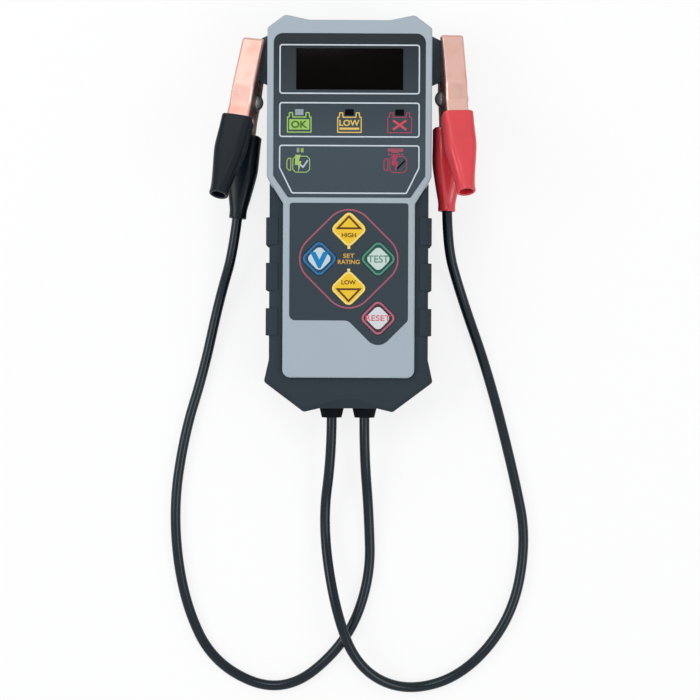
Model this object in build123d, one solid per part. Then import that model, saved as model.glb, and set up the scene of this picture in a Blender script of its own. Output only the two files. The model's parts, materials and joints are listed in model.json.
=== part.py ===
"""Handheld 12 V battery tester with a pair of clamp leads, lying on its back.

Frame: the origin is at the middle of the flat back face, +Z comes out of the front
face, +Y points to the head end with the display, +X is right seen from the front.
The clamps are parked on the two lugs of the head. Millimetres and degrees.
"""
from build123d import *
import os
from math import acos, atan2, cos, degrees, hypot, radians, sin, tan

# ---------------------------------------------------------------- case, seen from the front
CASE_DEPTH = 38.0          # back face to front face
PARTING = 21.0             # height of the joint line round the head
HEAD_WIDTH = 82.5
HEAD_SIDE = 74.7           # straight part of the head's sides
NECK_Y = 5.2               # where the head meets the handle's panel
NECK_RISE = 13.3           # height of the slanted neck edges
SHOULDER_RISE = 6.6        # slanted top corners
HEAD_CORNER = 3.0          # rounds of the head's outline
SHOULDER_CORNER = 1.5
VALLEY_CORNER = 8.0
HORN_WIDTH = 64.9          # between the two raised points of the top edge
VALLEY_WIDTH = 40.6        # flat middle of the top edge
VALLEY_DROP = 2.6
PANEL_WIDTH = 66.1
PANEL_LENGTH = 87.2        # neck to the panel's bottom edge
PANEL_CORNER = 4.0
WALL = 2.2                 # both shells
FACE = 2.2                 # front plate
FLOOR = 2.4                # back plate
EDGE_ROUND = 1.0           # front outer edge
BACK_ROUND = 1.6           # back outer edge
SHADOW_GAP = 0.3           # step between the two shells at the joint line
LIP_HEIGHT = 1.2
LIP_WIDTH = 1.0
LIP_GAP = 0.15
PANEL_WALL = 1.8
PANEL_SKIRT = 7.0          # depth of the panel's side walls

# ---------------------------------------------------------------- rubber grip round the handle
GRIP_INSET = 1.25          # each side of the head over the grip's
PANEL_PROUD = 2.6          # panel's front over the grip's front
GRIP_WALL = 3.6
GRIP_ROUND = 3.2
GRIP_GAP = 0.3             # to the panel and to the neck
GRIP_SEAT = 0.1            # to the tub behind it
FOOT = 5.0                 # height of the tub's foot that carries the grip
FOOT_INSET = 0.4
FLARE_OUT = 1.25           # widest place of the end, past the head's sides
FLARE_START = 78.1         # these five are measured down from the neck line
FLARE_AT = 89.4
END_WIDTH = 44.8           # between the two lowest points
END_AT = 104.5
MOUTH_WIDTH = 29.0         # flat between them, where the leads come out
MOUTH_AT = 102.6
END_CORNER = 3.0           # rounds of the end's outline
FLARE_CORNER = 2.0
TUCK = 1.0                 # the grip's sides stop this far under the head's slants
PAD_LENGTH = 13.6
PAD_PITCH = 22.8
PAD_FIRST = 13.6           # middle of the first pad, below the neck line
PAD_COUNT = 3
PAD_OUT = 1.7
PAD_RAISE = 0.5
PAD_ROUND = 3.8            # outer top edge, inner top edge, outer foot
PAD_INNER_ROUND = 0.6
PAD_FOOT_ROUND = 0.8
PAD_WIDTH = 6.4
PAD_LOW = 1.5              # above the foot
SCOOP_RADIUS = 60.0
SCOOP_DEPTH = 3.4
SCOOP_RUN = 5.0

# ---------------------------------------------------------------- films, window, lamps
FILM = 0.5                 # thickness of both printed films
FILM_GAP = 0.1             # round anything that stands in a film or a plate
DISPLAY_WIDTH = 76.2
DISPLAY_TOP = 90.4
DISPLAY_BOTTOM = 8.15
DISPLAY_FOOT_WIDTH = 61.4
DISPLAY_CORNER = 4.7
DISPLAY_FOOT_CORNER = 1.0
DISPLAY_SLANT = 0.5        # its slants end this much above the head's
KEYPAD_WIDTH = 59.5
KEYPAD_SPACING = 2.6       # grey strip between the two films
KEYPAD_MARGIN = 1.3        # bottom edge below the middle of the reset key
KEYPAD_TIP = 15.0          # point under the reset key, below the bottom edge
KEYPAD_CORNER = 3.0        # its rounds, from the sharpest to the widest
KEYPAD_TOP_CORNER = 1.5
KEYPAD_ELBOW = 5.0
KEYPAD_POINT = 6.8
WINDOW_WIDTH = 53.4
WINDOW_HEIGHT = 20.6
WINDOW_Y = 72.5
WINDOW_RIM = 1.0           # flange behind the front plate
WINDOW_FLANGE = 0.7
LAMP_PITCH = 25.1
BATTERY_LAMP_Y = 50.8
CHARGE_GOOD_X = 24.6
CHARGE_BAD_X = 23.1
CHARGE_LAMP_Y = 31.8
BATTERY_LAMP = (4.2, 3.0)
CHARGE_LAMP = (3.4, 2.2)
LAMP_BODY_GROW = 0.9
LAMP_BODY_HEIGHT = 3.0

# ---------------------------------------------------------------- keys and switches
KEY_SIDE = 13.5
KEY_CORNER = 3.0
KEY_GAP = 0.3
KEY_PROUD = 0.5
KEY_ROUND = 0.4
KEY_PITCH = 14.75
KEY_CENTRE_Y = -22.4
RESET_DROP = 29.6          # reset key below the centre of the four
KEY_FLANGE_GROW = 1.1
KEY_FLANGE = 1.2
KEY_LIFT = 0.3             # rest gap below the front plate
KEY_STEM = 2.5             # radius
SWITCH_SIDE = 6.0
SWITCH_HEIGHT = 3.5
PLUNGER_RADIUS = 1.75
PLUNGER_OUT = 1.0
PLUNGER_IN = 0.6
PLUNGER_WELL = 1.3
PLUNGER_GAP = 0.15

# ---------------------------------------------------------------- inside
BOARD = 1.6
MODULE_GAP = 0.1           # display module to the lens in front of it
BOARD_HEAD_WIDTH = 69.0
BOARD_WAIST_WIDTH = 58.0
BOARD_TOP_Y = 88.0
BOARD_WAIST_Y = 32.0
BOARD_BOTTOM_Y = -68.0
BOARD_CORNER = 1.5
MODULE_WIDTH = 50.3
MODULE_HEIGHT = 19.0
MODULE_DEPTH = 8.0
BOSS = 3.2                 # radius, front shell
REAR_POST = 5.0            # radius, tub
BOARD_SCREWS = ((31.2, 84.6), (25.0, -62.5))
CASE_SCREWS = ((31.0, 92.0), (34.6, 26.0), (24.5, -74.4))
SCREW_GAP = 0.1
CASE_SHANK = 1.5           # screw radii and heights
CASE_HEAD = 2.8
CASE_HEAD_HEIGHT = 2.2
CASE_BITE = 9.0
PILOT = 1.0                # hole beyond the screw's tip
BOARD_SHANK = 1.2
BOARD_HEAD = 2.4
BOARD_HEAD_HEIGHT = 1.6
BOARD_BITE = 5.0
SINK_RADIUS = 3.3          # the screws' sinkings in the back
SINK_DEPTH = 10.0
CHIP = (12.0, 12.0, 1.6)
CHIP_AT = (0.0, 12.0)
RESISTOR = (22.0, 9.5, 9.0)
RESISTOR_AT = (0.0, -32.0)
CAPACITOR_RADIUS = 5.0
CAPACITOR_HEIGHT = 16.0
CAPACITOR_AT = (19.0, 2.0)
TERMINAL = (11.0, 9.0, 8.0)
TERMINAL_Y = -60.0

# ---------------------------------------------------------------- leads and strain reliefs
CABLE = 5.2                # outer diameter
BEND_SHARE = 0.45          # of the shorter run, taken by a bend
LEAD_PITCH = 16.8
LEAD_Z = 14.0
RELIEF_RADIUS = 6.3
RELIEF_END_RADIUS = 5.1
RELIEF_OUT = 5.2
RELIEF_WAIST = 4.9
RELIEF_COLLAR = 1.6
RELIEF_GAP = 0.05
BORE_GAP = 0.05
INNER_BEND = 9.0           # bends of the leads inside, and their straight ends
INNER_START = 8.0
INNER_END = 9.0

# ---------------------------------------------------------------- parking lugs of the head
LUG_Y = 79.4
LUG_BASE = 25.8            # along the side of the head
LUG_SHANK = 21.2
LUG_NECK = 5.0             # length of the taper
LUG_REACH = 54.6           # outer end, from the middle of the case
LUG_LOW = 8.6              # where it passes the wall
LUG_FLANGE = 1.9
LUG_FLANGE_GROW = 1.8
LUG_GAP = 0.1
LUG_ROUND = 1.5
LUG_NECK_ROUND = 0.8

# ---------------------------------------------------------------- clamps, closed, upper half
SHEET = 1.0
CUT_PAST = 8               # the channel's cut runs past the handle's end, in sheets
JAW_LENGTH = 32.4
NOSE_HEIGHT = 3.8
NOSE_ROUND = 2.2
BEND_Y = 6.7
BEND_HEIGHT = 13.0
BEND_ROUND = 8.0
CROWN_Y = -3.0
CROWN_HEIGHT = 14.0
HANDLE_ANGLE = 20.0
HANDLE_LENGTH = 24.0
HANDLE_DEPTH = 7.0
EAR = 5.2                  # radius round the rivet
OUTER_WIDTH = 11.4         # the half that faces up
NEST_GAP = 0.1             # between the nested cheeks
TEETH = 8
TOOTH_PITCH = 2.25
TOOTH_DEPTH = 1.0
THROAT_END = 12.0
THROAT = 3.0
SHEET_ROUND = 1.2          # bend between web and cheeks
TAIL_ROUND = 1.5           # lower corner of the handle's end, then the handle's root
ROOT_ROUND = 3.0
ROOT = 2.0                 # handle's root beyond the ear
THROAT_START = 1.2         # throat beyond the ear, its corners, and short of the first tooth
THROAT_ROUND = 0.8
THROAT_STOP = 0.6
TOOTH_FLANK = 0.55         # steep side of a tooth, as a share of the pitch
TIP_FLAT = 1.2             # at the jaw's tip, past the last tooth
RIVET = 2.0                # shank radius
RIVET_GAP = 0.05
RIVET_HEAD = 4.2
RIVET_DOME = 2.9
WIRE = 1.3
COIL_TURNS = 4
COIL_RADIUS = 3.2          # to the wire's middle
LEG_REACH = 10.0           # along the handle
LEG_GAP = 0.15
LEG_SINK = 0.15            # into the coil's outer turn

# ---------------------------------------------------------------- clamp boots
BOOT_LENGTH = 42.7
BOOT_WALL = 1.1
BOOT_MOUTH = (15.6, 12.4)
BOOT_BELLY = (15.6, 12.9)
BOOT_WAIST = (11.0, 10.4)
BOOT_CORNER = 0.38         # corner radii as a share of the smaller side, outside and inside
BOOT_CAVITY_CORNER = 0.24
BOOT_STATIONS = (0.0, 0.42, 0.78, 1.0)
BOOT_END = 9.5
BOOT_HOLE = 6.9
CABLE_BOOT_END = 8.8
BLACK_FREE_BOOT_AT = 7.8   # mouths, along the handle from the crown
BLACK_CABLE_BOOT_AT = 8.6
RED_FREE_BOOT_AT = 6.5
RED_CABLE_BOOT_AT = 6.2
BOOT_SKEW = 2.0            # to the handle, sideways
BOOT_LIP = 2.2             # inner edge of the mouth, snug on the handle
BOOT_FIT = 0.05            # round the handle and round the cable
BOOT_SLOT = 8.6            # height of the mouth's opening
CABLE_IN = 14.0            # lead inside the boot, and its straight run outside
CABLE_OUT = 15.0
CRIMP_BITE = 5.0           # crimp inside the handle's channel

# ---------------------------------------------------------------- how the clamps are parked
JAW_OPEN = 20.0            # angle between the jaws on the lug
BISECTOR_TILT = 11.5       # the tips point this much down
JAW_GAP = 0.35             # teeth to lug
WEDGE_START = 1.5          # from the pivot, in widths of the gap
BLACK_PIVOT = (-52.5, 58.1, 21.0)
BLACK_YAW = -7.0
BLACK_ROLL = -8.5          # the upper handles lean out
RED_PIVOT = (52.0, 60.0, 21.0)
RED_YAW = 0.5
RED_ROLL = 7.8

# ================================================================ values worked out
SLANT_TOP = NECK_Y + NECK_RISE
SHOULDER_Y = SLANT_TOP + HEAD_SIDE
HORN_Y = SHOULDER_Y + SHOULDER_RISE
PANEL_BOTTOM = NECK_Y - PANEL_LENGTH
MOUTH_Y = NECK_Y - MOUTH_AT
GRIP_WIDTH = HEAD_WIDTH - 2 * GRIP_INSET
FLARE_WIDTH = HEAD_WIDTH + 2 * FLARE_OUT
PLATE_BACK = CASE_DEPTH - FACE
GRIP_TOP = CASE_DEPTH - PANEL_PROUD
BOARD_TOP = PLATE_BACK - WINDOW_FLANGE - MODULE_GAP - MODULE_DEPTH
FILM_SEAT = CASE_DEPTH - FILM
RIM = GRIP_TOP - GRIP_WALL - GRIP_SEAT
BOARD_BACK = BOARD_TOP - BOARD
KEYPAD_TOP = DISPLAY_BOTTOM - KEYPAD_SPACING
KEYPAD_BOTTOM = KEY_CENTRE_Y - RESET_DROP - KEYPAD_MARGIN
RELIEF_X = (-LEAD_PITCH / 2, LEAD_PITCH / 2)
TUB_END_Y = MOUTH_Y + GRIP_WALL + WALL      # inner face of the end wall
LEAD_START_Y = MOUTH_Y - RELIEF_OUT
INNER_WIDTH = OUTER_WIDTH - 2 * (SHEET + NEST_GAP)
KEYS = {
    "high": (0.0, KEY_CENTRE_Y + KEY_PITCH),
    "low": (0.0, KEY_CENTRE_Y - KEY_PITCH),
    "volts": (-KEY_PITCH, KEY_CENTRE_Y),
    "test": (KEY_PITCH, KEY_CENTRE_Y),
    "reset": (KEY_PITCH, KEY_CENTRE_Y - RESET_DROP),
}
LAMPS = {
    "battery_good": (-LAMP_PITCH, BATTERY_LAMP_Y, BATTERY_LAMP),
    "battery_low": (0.0, BATTERY_LAMP_Y, BATTERY_LAMP),
    "battery_bad": (LAMP_PITCH, BATTERY_LAMP_Y, BATTERY_LAMP),
    "charge_good": (-CHARGE_GOOD_X, CHARGE_LAMP_Y, CHARGE_LAMP),
    "charge_bad": (CHARGE_BAD_X, CHARGE_LAMP_Y, CHARGE_LAMP),
}


# ================================================================ helpers
def rounded(points):
    """Closed face through (x, y, corner radius) points."""
    corners = [(x, y) for x, y, _ in points]
    radii = [r for _, _, r in points]
    return make_face(FilletPolyline(*corners, radius=radii, close=True))


def both_sides(right):
    """Adds the mirrored left half to points that run up the right half."""
    return right + [(-x, y, r) for x, y, r in reversed(right)]


def slab(face, low, high):
    """A flat face pulled up from one height to another."""
    return Pos(0, 0, low) * extrude(face, high - low)


def post(x, y, radius, low, high):
    """An upright round post."""
    return Pos(x, y, low) * extrude(Circle(radius), high - low)


def block(x, y, size, low, high):
    """An upright block on a rectangle of the given size."""
    return Pos(x, y, low) * extrude(Rectangle(*size), high - low)


def grown(face, amount):
    """A face with its outline moved out, or in where the amount is negative."""
    return offset(face, amount, kind=Kind.INTERSECTION)


def both(places):
    """Each place and its mirror image on the left."""
    return [(side * x, y) for x, y in places for side in (-1, 1)]


def fused(parts):
    whole = parts[0]
    for part in parts[1:]:
        whole += part
    return whole


# ================================================================ outlines from the front
def head_plan():
    return rounded(both_sides([
        (PANEL_WIDTH / 2, NECK_Y, 0),
        (HEAD_WIDTH / 2, SLANT_TOP, HEAD_CORNER),
        (HEAD_WIDTH / 2, SHOULDER_Y, SHOULDER_CORNER),
        (HORN_WIDTH / 2, HORN_Y, HEAD_CORNER),
        (VALLEY_WIDTH / 2, HORN_Y - VALLEY_DROP, VALLEY_CORNER),
    ]))


def panel_plan(top=SLANT_TOP):
    return rounded(both_sides([
        (PANEL_WIDTH / 2, PANEL_BOTTOM, PANEL_CORNER),
        (PANEL_WIDTH / 2, top, 0),
    ]))


def grip_plan():
    """Outline of the grip without its pads, run up under the neck."""
    return rounded(both_sides([
        (MOUTH_WIDTH / 2, MOUTH_Y, END_CORNER),
        (END_WIDTH / 2, NECK_Y - END_AT, FLARE_CORNER),
        (FLARE_WIDTH / 2, NECK_Y - FLARE_AT, FLARE_CORNER),
        (GRIP_WIDTH / 2, NECK_Y - FLARE_START, END_CORNER),
        (GRIP_WIDTH / 2, SLANT_TOP - TUCK, 0),
    ]))


def tub_wall_plan(inward=0.0):
    """The tub's wall that stands inside the grip."""
    return grown(grip_plan(), -GRIP_WALL - inward)


def diamond(grow=0.0):
    """A key's outline, a rounded square on its corner."""
    side = KEY_SIDE + 2 * grow
    return Rot(0, 0, 45) * RectangleRounded(side, side, KEY_CORNER + grow)


def display_plan():
    return rounded(both_sides([
        (DISPLAY_FOOT_WIDTH / 2, DISPLAY_BOTTOM, DISPLAY_FOOT_CORNER),
        (DISPLAY_WIDTH / 2, SLANT_TOP + DISPLAY_SLANT, DISPLAY_FOOT_CORNER),
        (DISPLAY_WIDTH / 2, DISPLAY_TOP, DISPLAY_CORNER),
    ]))


def keypad_plan():
    half = KEYPAD_WIDTH / 2
    tip_y = KEYPAD_BOTTOM - KEYPAD_TIP
    return rounded([
        (-half, KEYPAD_BOTTOM, KEYPAD_CORNER),
        (KEY_PITCH - KEYPAD_TIP, KEYPAD_BOTTOM, KEYPAD_ELBOW),
        (KEY_PITCH, tip_y, KEYPAD_POINT),
        (half, tip_y + half - KEY_PITCH, KEYPAD_CORNER),
        (half, KEYPAD_TOP, KEYPAD_TOP_CORNER),
        (-half, KEYPAD_TOP, KEYPAD_TOP_CORNER),
    ])


def window_plan(grow=0.0):
    return Pos(0, WINDOW_Y) * Rectangle(WINDOW_WIDTH + 2 * grow, WINDOW_HEIGHT + 2 * grow)


def lamp_plan(lamp, grow=0.0):
    x, y, (wide, high) = lamp
    return Pos(x, y) * Rectangle(wide + 2 * grow, high + 2 * grow)


# ================================================================ case
def front_cover():
    """Grey front shell: the head with its side walls and the narrower handle panel."""
    shell = slab(head_plan(), PARTING, CASE_DEPTH)
    shell += slab(panel_plan(), CASE_DEPTH - PANEL_SKIRT, CASE_DEPTH)
    front = shell.faces().sort_by(Axis.Z)[-1]
    shell = fillet(front.outer_wire().edges(), EDGE_ROUND)
    shell -= slab(grown(head_plan(), -WALL), PARTING, PLATE_BACK)
    shell -= slab(grown(panel_plan(SLANT_TOP + WALL), -PANEL_WALL), PARTING, PLATE_BACK)
    shell -= slab(display_plan(), FILM_SEAT, CASE_DEPTH)
    shell -= slab(keypad_plan(), FILM_SEAT, CASE_DEPTH)
    shell -= slab(window_plan(FILM_GAP), PLATE_BACK, CASE_DEPTH)
    for lamp in LAMPS.values():
        shell -= slab(lamp_plan(lamp, FILM_GAP), PLATE_BACK, CASE_DEPTH)
    for x, y in KEYS.values():
        shell -= slab(Pos(x, y) * diamond(KEY_GAP), PLATE_BACK, CASE_DEPTH)
    bosses = [post(x, y, BOSS, BOARD_TOP, PLATE_BACK) for x, y in both(BOARD_SCREWS)]
    bosses += [post(x, y, BOSS, PARTING, PLATE_BACK) for x, y in both(CASE_SCREWS)]
    shell = fused([shell] + bosses)
    for x, y in both(BOARD_SCREWS):
        shell -= post(x, y, BOARD_SHANK + SCREW_GAP, BOARD_TOP, BOARD_TOP + BOARD_BITE + PILOT)
    for x, y in both(CASE_SCREWS):
        shell -= post(x, y, CASE_SHANK + SCREW_GAP, PARTING, PARTING + CASE_BITE + PILOT)
    return shell


def relief_bore(x, radius):
    """A hole along Y through the end walls for a strain relief."""
    length = GRIP_WALL + WALL + 4
    return Pos(x, MOUTH_Y - 2, LEAD_Z) * Rot(-90, 0, 0) * extrude(Circle(radius), length)


def rear_cover():
    """Dark tub: a foot all round, the head's walls and the walls inside the grip."""
    head = grown(head_plan(), -SHADOW_GAP)
    tub = slab(head, 0, FOOT) + slab(grown(grip_plan(), -FOOT_INSET), 0, FOOT)
    back = tub.faces().sort_by(Axis.Z)[0]
    tub = fillet(back.outer_wire().edges(), BACK_ROUND)
    tub += slab(head, FOOT, PARTING)
    tub += slab(tub_wall_plan(), FOOT, RIM) - slab(grown(head_plan(), GRIP_GAP), PARTING, RIM)
    lip_face = grown(head_plan(), -WALL - LIP_GAP)
    lip = slab(lip_face, PARTING - LIP_HEIGHT, PARTING + LIP_HEIGHT)
    above_neck = block(0, SLANT_TOP + HEAD_WIDTH, (2 * HEAD_WIDTH, 2 * HEAD_WIDTH), 0, CASE_DEPTH)
    tub += lip & above_neck
    tub -= slab(grown(head, -WALL), FLOOR, PARTING - LIP_HEIGHT)
    tub -= slab(grown(lip_face, -LIP_WIDTH), FLOOR, CASE_DEPTH)
    tub -= slab(tub_wall_plan(WALL), FLOOR, CASE_DEPTH)
    tub = fused([tub] + [post(x, y, REAR_POST, FLOOR / 2, PARTING) for x, y in both(CASE_SCREWS)])
    for x, y in both(CASE_SCREWS):
        tub -= post(x, y, SINK_RADIUS, 0, SINK_DEPTH)
        tub -= post(x, y, CASE_SHANK + SCREW_GAP, 0, PARTING)
        tub -= post(x, y, BOSS + LIP_GAP, PARTING, CASE_DEPTH)
    for side in (-1, 1):
        tub -= block(side * HEAD_WIDTH / 2, LUG_Y, (4 * WALL, LUG_SHANK + 2 * LUG_GAP),
                     LUG_LOW - LUG_GAP, CASE_DEPTH)
    for x in RELIEF_X:
        tub -= relief_bore(x, RELIEF_WAIST + RELIEF_GAP)
    return tub


def grip_pads():
    """The ribbed pads on both sides, a rounded bar cut to lengths."""
    outer = GRIP_WIDTH / 2 + PAD_OUT
    low, high = FOOT + PAD_LOW, GRIP_TOP + PAD_RAISE
    section = rounded([
        (outer - PAD_WIDTH, low, 0),
        (outer, low, PAD_FOOT_ROUND),
        (outer, high, PAD_ROUND),
        (outer - PAD_WIDTH, high, PAD_INNER_ROUND),
    ])
    bar = extrude(Plane.XZ * section, PAD_LENGTH / 2, both=True)
    pads = []
    for i in range(PAD_COUNT):
        right = Pos(0, NECK_Y - PAD_FIRST - i * PAD_PITCH, 0) * bar
        pads += [right, mirror(right, about=Plane.YZ)]
    return pads


def grip_sleeve():
    """Rubber grip: three sides of the handle, with pads, a flared end and a scooped mouth."""
    grip = slab(grip_plan(), FOOT, GRIP_TOP)
    top = grip.faces().sort_by(Axis.Z)[-1]
    far = [e for e in top.outer_wire().edges() if e.center().Y < SLANT_TOP - 1.5]
    grip = fused([fillet(far, GRIP_ROUND)] + grip_pads())
    grip -= slab(tub_wall_plan(-GRIP_SEAT), FOOT, RIM + GRIP_SEAT)
    grip -= slab(grown(head_plan(), GRIP_GAP), FOOT, CASE_DEPTH)
    grip -= slab(grown(panel_plan(), GRIP_GAP), FOOT, CASE_DEPTH)
    tilt = degrees(atan2(SCOOP_DEPTH, SCOOP_RUN))
    scoop = Rot(90, 0, 0) * extrude(Circle(SCOOP_RADIUS), 60, both=True)
    scoop = Pos(0, MOUTH_Y, GRIP_TOP - SCOOP_DEPTH) * Rot(tilt, 0, 0) * Pos(0, 0, SCOOP_RADIUS) * scoop
    grip -= scoop
    for x in RELIEF_X:
        grip -= relief_bore(x, RELIEF_WAIST + RELIEF_GAP)
    return grip


def display_film():
    film = slab(grown(display_plan(), -FILM_GAP), FILM_SEAT, CASE_DEPTH)
    film -= slab(window_plan(FILM_GAP), FILM_SEAT, CASE_DEPTH)
    for lamp in LAMPS.values():
        film -= slab(lamp_plan(lamp, FILM_GAP), FILM_SEAT, CASE_DEPTH)
    return film


def keypad_film():
    film = slab(grown(keypad_plan(), -FILM_GAP), FILM_SEAT, CASE_DEPTH)
    for x, y in KEYS.values():
        film -= slab(Pos(x, y) * diamond(KEY_GAP), FILM_SEAT, CASE_DEPTH)
    return film


def display_window():
    """Smoked lens with a flange behind the front plate."""
    lens = slab(window_plan(), PLATE_BACK - WINDOW_FLANGE, CASE_DEPTH)
    return lens + slab(window_plan(WINDOW_RIM), PLATE_BACK - WINDOW_FLANGE, PLATE_BACK)


# ================================================================ inside
def main_board():
    head, waist = BOARD_HEAD_WIDTH / 2, BOARD_WAIST_WIDTH / 2
    outline = rounded(both_sides([
        (waist, BOARD_BOTTOM_Y, BOARD_CORNER),
        (waist, BOARD_WAIST_Y, BOARD_CORNER),
        (head, BOARD_WAIST_Y, BOARD_CORNER),
        (head, BOARD_TOP_Y, BOARD_CORNER),
    ]))
    board = slab(outline, BOARD_BACK, BOARD_TOP)
    for x, y in both(BOARD_SCREWS):
        board -= post(x, y, BOARD_SHANK + SCREW_GAP, BOARD_BACK, BOARD_TOP)
    return board


def display_module():
    return block(0, WINDOW_Y, (MODULE_WIDTH, MODULE_HEIGHT), BOARD_TOP, BOARD_TOP + MODULE_DEPTH)


def lamp(place):
    """Light-emitting diode: a flanged body on the board and a lens up to the film's face."""
    shoulder = BOARD_TOP + LAMP_BODY_HEIGHT
    body = slab(lamp_plan(place, LAMP_BODY_GROW), BOARD_TOP, shoulder)
    return body + slab(lamp_plan(place), shoulder, CASE_DEPTH)


def key_cap(x, y):
    """Key cap with a flange under the front plate and a stem down to its switch."""
    flange_top = PLATE_BACK - KEY_LIFT
    flange_low = flange_top - KEY_FLANGE
    cap = slab(diamond(), flange_top, CASE_DEPTH + KEY_PROUD)
    cap = fillet(cap.faces().sort_by(Axis.Z)[-1].edges(), KEY_ROUND)
    cap += slab(diamond(KEY_FLANGE_GROW), flange_low, flange_top)
    cap += post(0, 0, KEY_STEM, BOARD_TOP + SWITCH_HEIGHT + PLUNGER_OUT, flange_low)
    return Pos(x, y) * cap


def switch_plunger(x, y):
    top = BOARD_TOP + SWITCH_HEIGHT
    return post(x, y, PLUNGER_RADIUS, top - PLUNGER_IN, top + PLUNGER_OUT)


def switch_bases():
    top = BOARD_TOP + SWITCH_HEIGHT
    bases = []
    for x, y in KEYS.values():
        base = block(x, y, (SWITCH_SIDE, SWITCH_SIDE), BOARD_TOP, top)
        bases.append(base - post(x, y, PLUNGER_RADIUS + PLUNGER_GAP, top - PLUNGER_WELL, top))
    return Compound(children=bases)


def under_board(place, size):
    wide, long, tall = size
    return block(*place, (wide, long), BOARD_BACK - tall, BOARD_BACK)


def filter_capacitor():
    return post(*CAPACITOR_AT, CAPACITOR_RADIUS, BOARD_BACK - CAPACITOR_HEIGHT, BOARD_BACK)


def lead_terminals():
    return Compound(children=[under_board((x, TERMINAL_Y), TERMINAL) for x in RELIEF_X])


def screws(places, shank, head, head_height, seat, tip):
    """Pan-head screws put in from the back: head below its seat, shank up to its tip."""
    return Compound(children=[
        post(x, y, head, seat - head_height, seat) + post(x, y, shank, seat, tip)
        for x, y in both(places)
    ])


def strain_relief(x):
    """Rubber relief: cone outside, waist in the end walls, collar inside, cable bore."""
    inner = TUB_END_Y - MOUTH_Y + BORE_GAP
    profile = Polyline(
        (CABLE / 2 + BORE_GAP, -RELIEF_OUT),
        (RELIEF_END_RADIUS, -RELIEF_OUT),
        (RELIEF_RADIUS, -BORE_GAP),
        (RELIEF_WAIST, -BORE_GAP),
        (RELIEF_WAIST, inner),
        (RELIEF_RADIUS, inner),
        (RELIEF_RADIUS, inner + RELIEF_COLLAR),
        (CABLE / 2 + BORE_GAP, inner + RELIEF_COLLAR),
        close=True,
    )
    return Pos(x, MOUTH_Y, LEAD_Z) * revolve(make_face(profile), Axis.Y)


def inner_lead(x):
    """The lead's stretch from the relief's mouth up to its terminal under the board."""
    terminal_y = TERMINAL_Y - TERMINAL[1] / 2
    rise = BOARD_BACK - TERMINAL[2] / 2
    path = FilletPolyline(
        (x, LEAD_START_Y, LEAD_Z),
        (x, TUB_END_Y + INNER_START, LEAD_Z),
        (x, terminal_y - INNER_END, rise),
        (x, terminal_y, rise),
        radius=INNER_BEND,
    )
    return tube(path)


# ================================================================ leads
def tube(path):
    section = Plane(origin=path @ 0, z_dir=path % 0) * Circle(CABLE / 2)
    return sweep(section, path=path)


def corner_radii(points):
    """Each bend as round as its two runs allow."""
    radii = []
    for before, here, after in zip(points, points[1:], points[2:]):
        run_in, run_out = Vector(*here) - Vector(*before), Vector(*after) - Vector(*here)
        half_turn = radians(run_in.get_angle(run_out)) / 2
        radii.append(BEND_SHARE * min(run_in.length, run_out.length) / tan(half_turn))
    return radii


BLACK_ROUTE = [
    (8.4, -102.6, 14.0), (8.4, -121.0, 14.0), (11.0, -152.0, 4.0), (12.2, -187.0, 2.7),
    (-0.7, -221.2, 2.75), (-32.6, -247.2, 2.7), (-68.7, -232.3, 2.72), (-85.1, -198.5, 2.7),
    (-90.8, -153.6, 2.72), (-85.1, -112.3, 2.7), (-75.1, -79.7, 2.75), (-67.0, -42.0, 5.0),
]
RED_ROUTE = [
    (-8.4, -102.6, 14.0), (-8.4, -122.0, 14.0), (-13.0, -158.0, 4.6), (-6.4, -201.5, 13.2),
    (5.6, -231.6, 13.4), (30.2, -245.4, 3.6), (61.0, -236.8, 2.7), (85.8, -206.6, 2.72),
    (93.1, -166.8, 2.7), (86.6, -133.5, 2.72), (73.0, -80.5, 2.75), (57.6, -38.0, 5.0),
]


def lead(route, clamp):
    """A lead from its relief's mouth along the bench and into the boot of its clamp."""
    points = route + [clamp.cable_point(CABLE_OUT), clamp.cable_point(-CABLE_IN)]
    radii = corner_radii(points)
    print("bend radii", [round(r) for r in radii])
    return tube(FilletPolyline(*points, radius=radii))


# ================================================================ parking lugs
def jaw_wedge(seat):
    """The room between the jaws of a clamp parked at the seat."""
    open_half = radians(JAW_OPEN / 2)
    inset = JAW_GAP / cos(open_half)
    far = 2 * JAW_LENGTH
    near = WEDGE_START * inset / tan(open_half)
    corners = [(y, sign * (y * tan(open_half) - inset)) for y, sign in
               ((near, 1), (far, 1), (far, -1), (near, -1))]
    return seat * extrude(Plane.YZ * make_face(Polyline(*corners, close=True)), HEAD_WIDTH, both=True)


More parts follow.
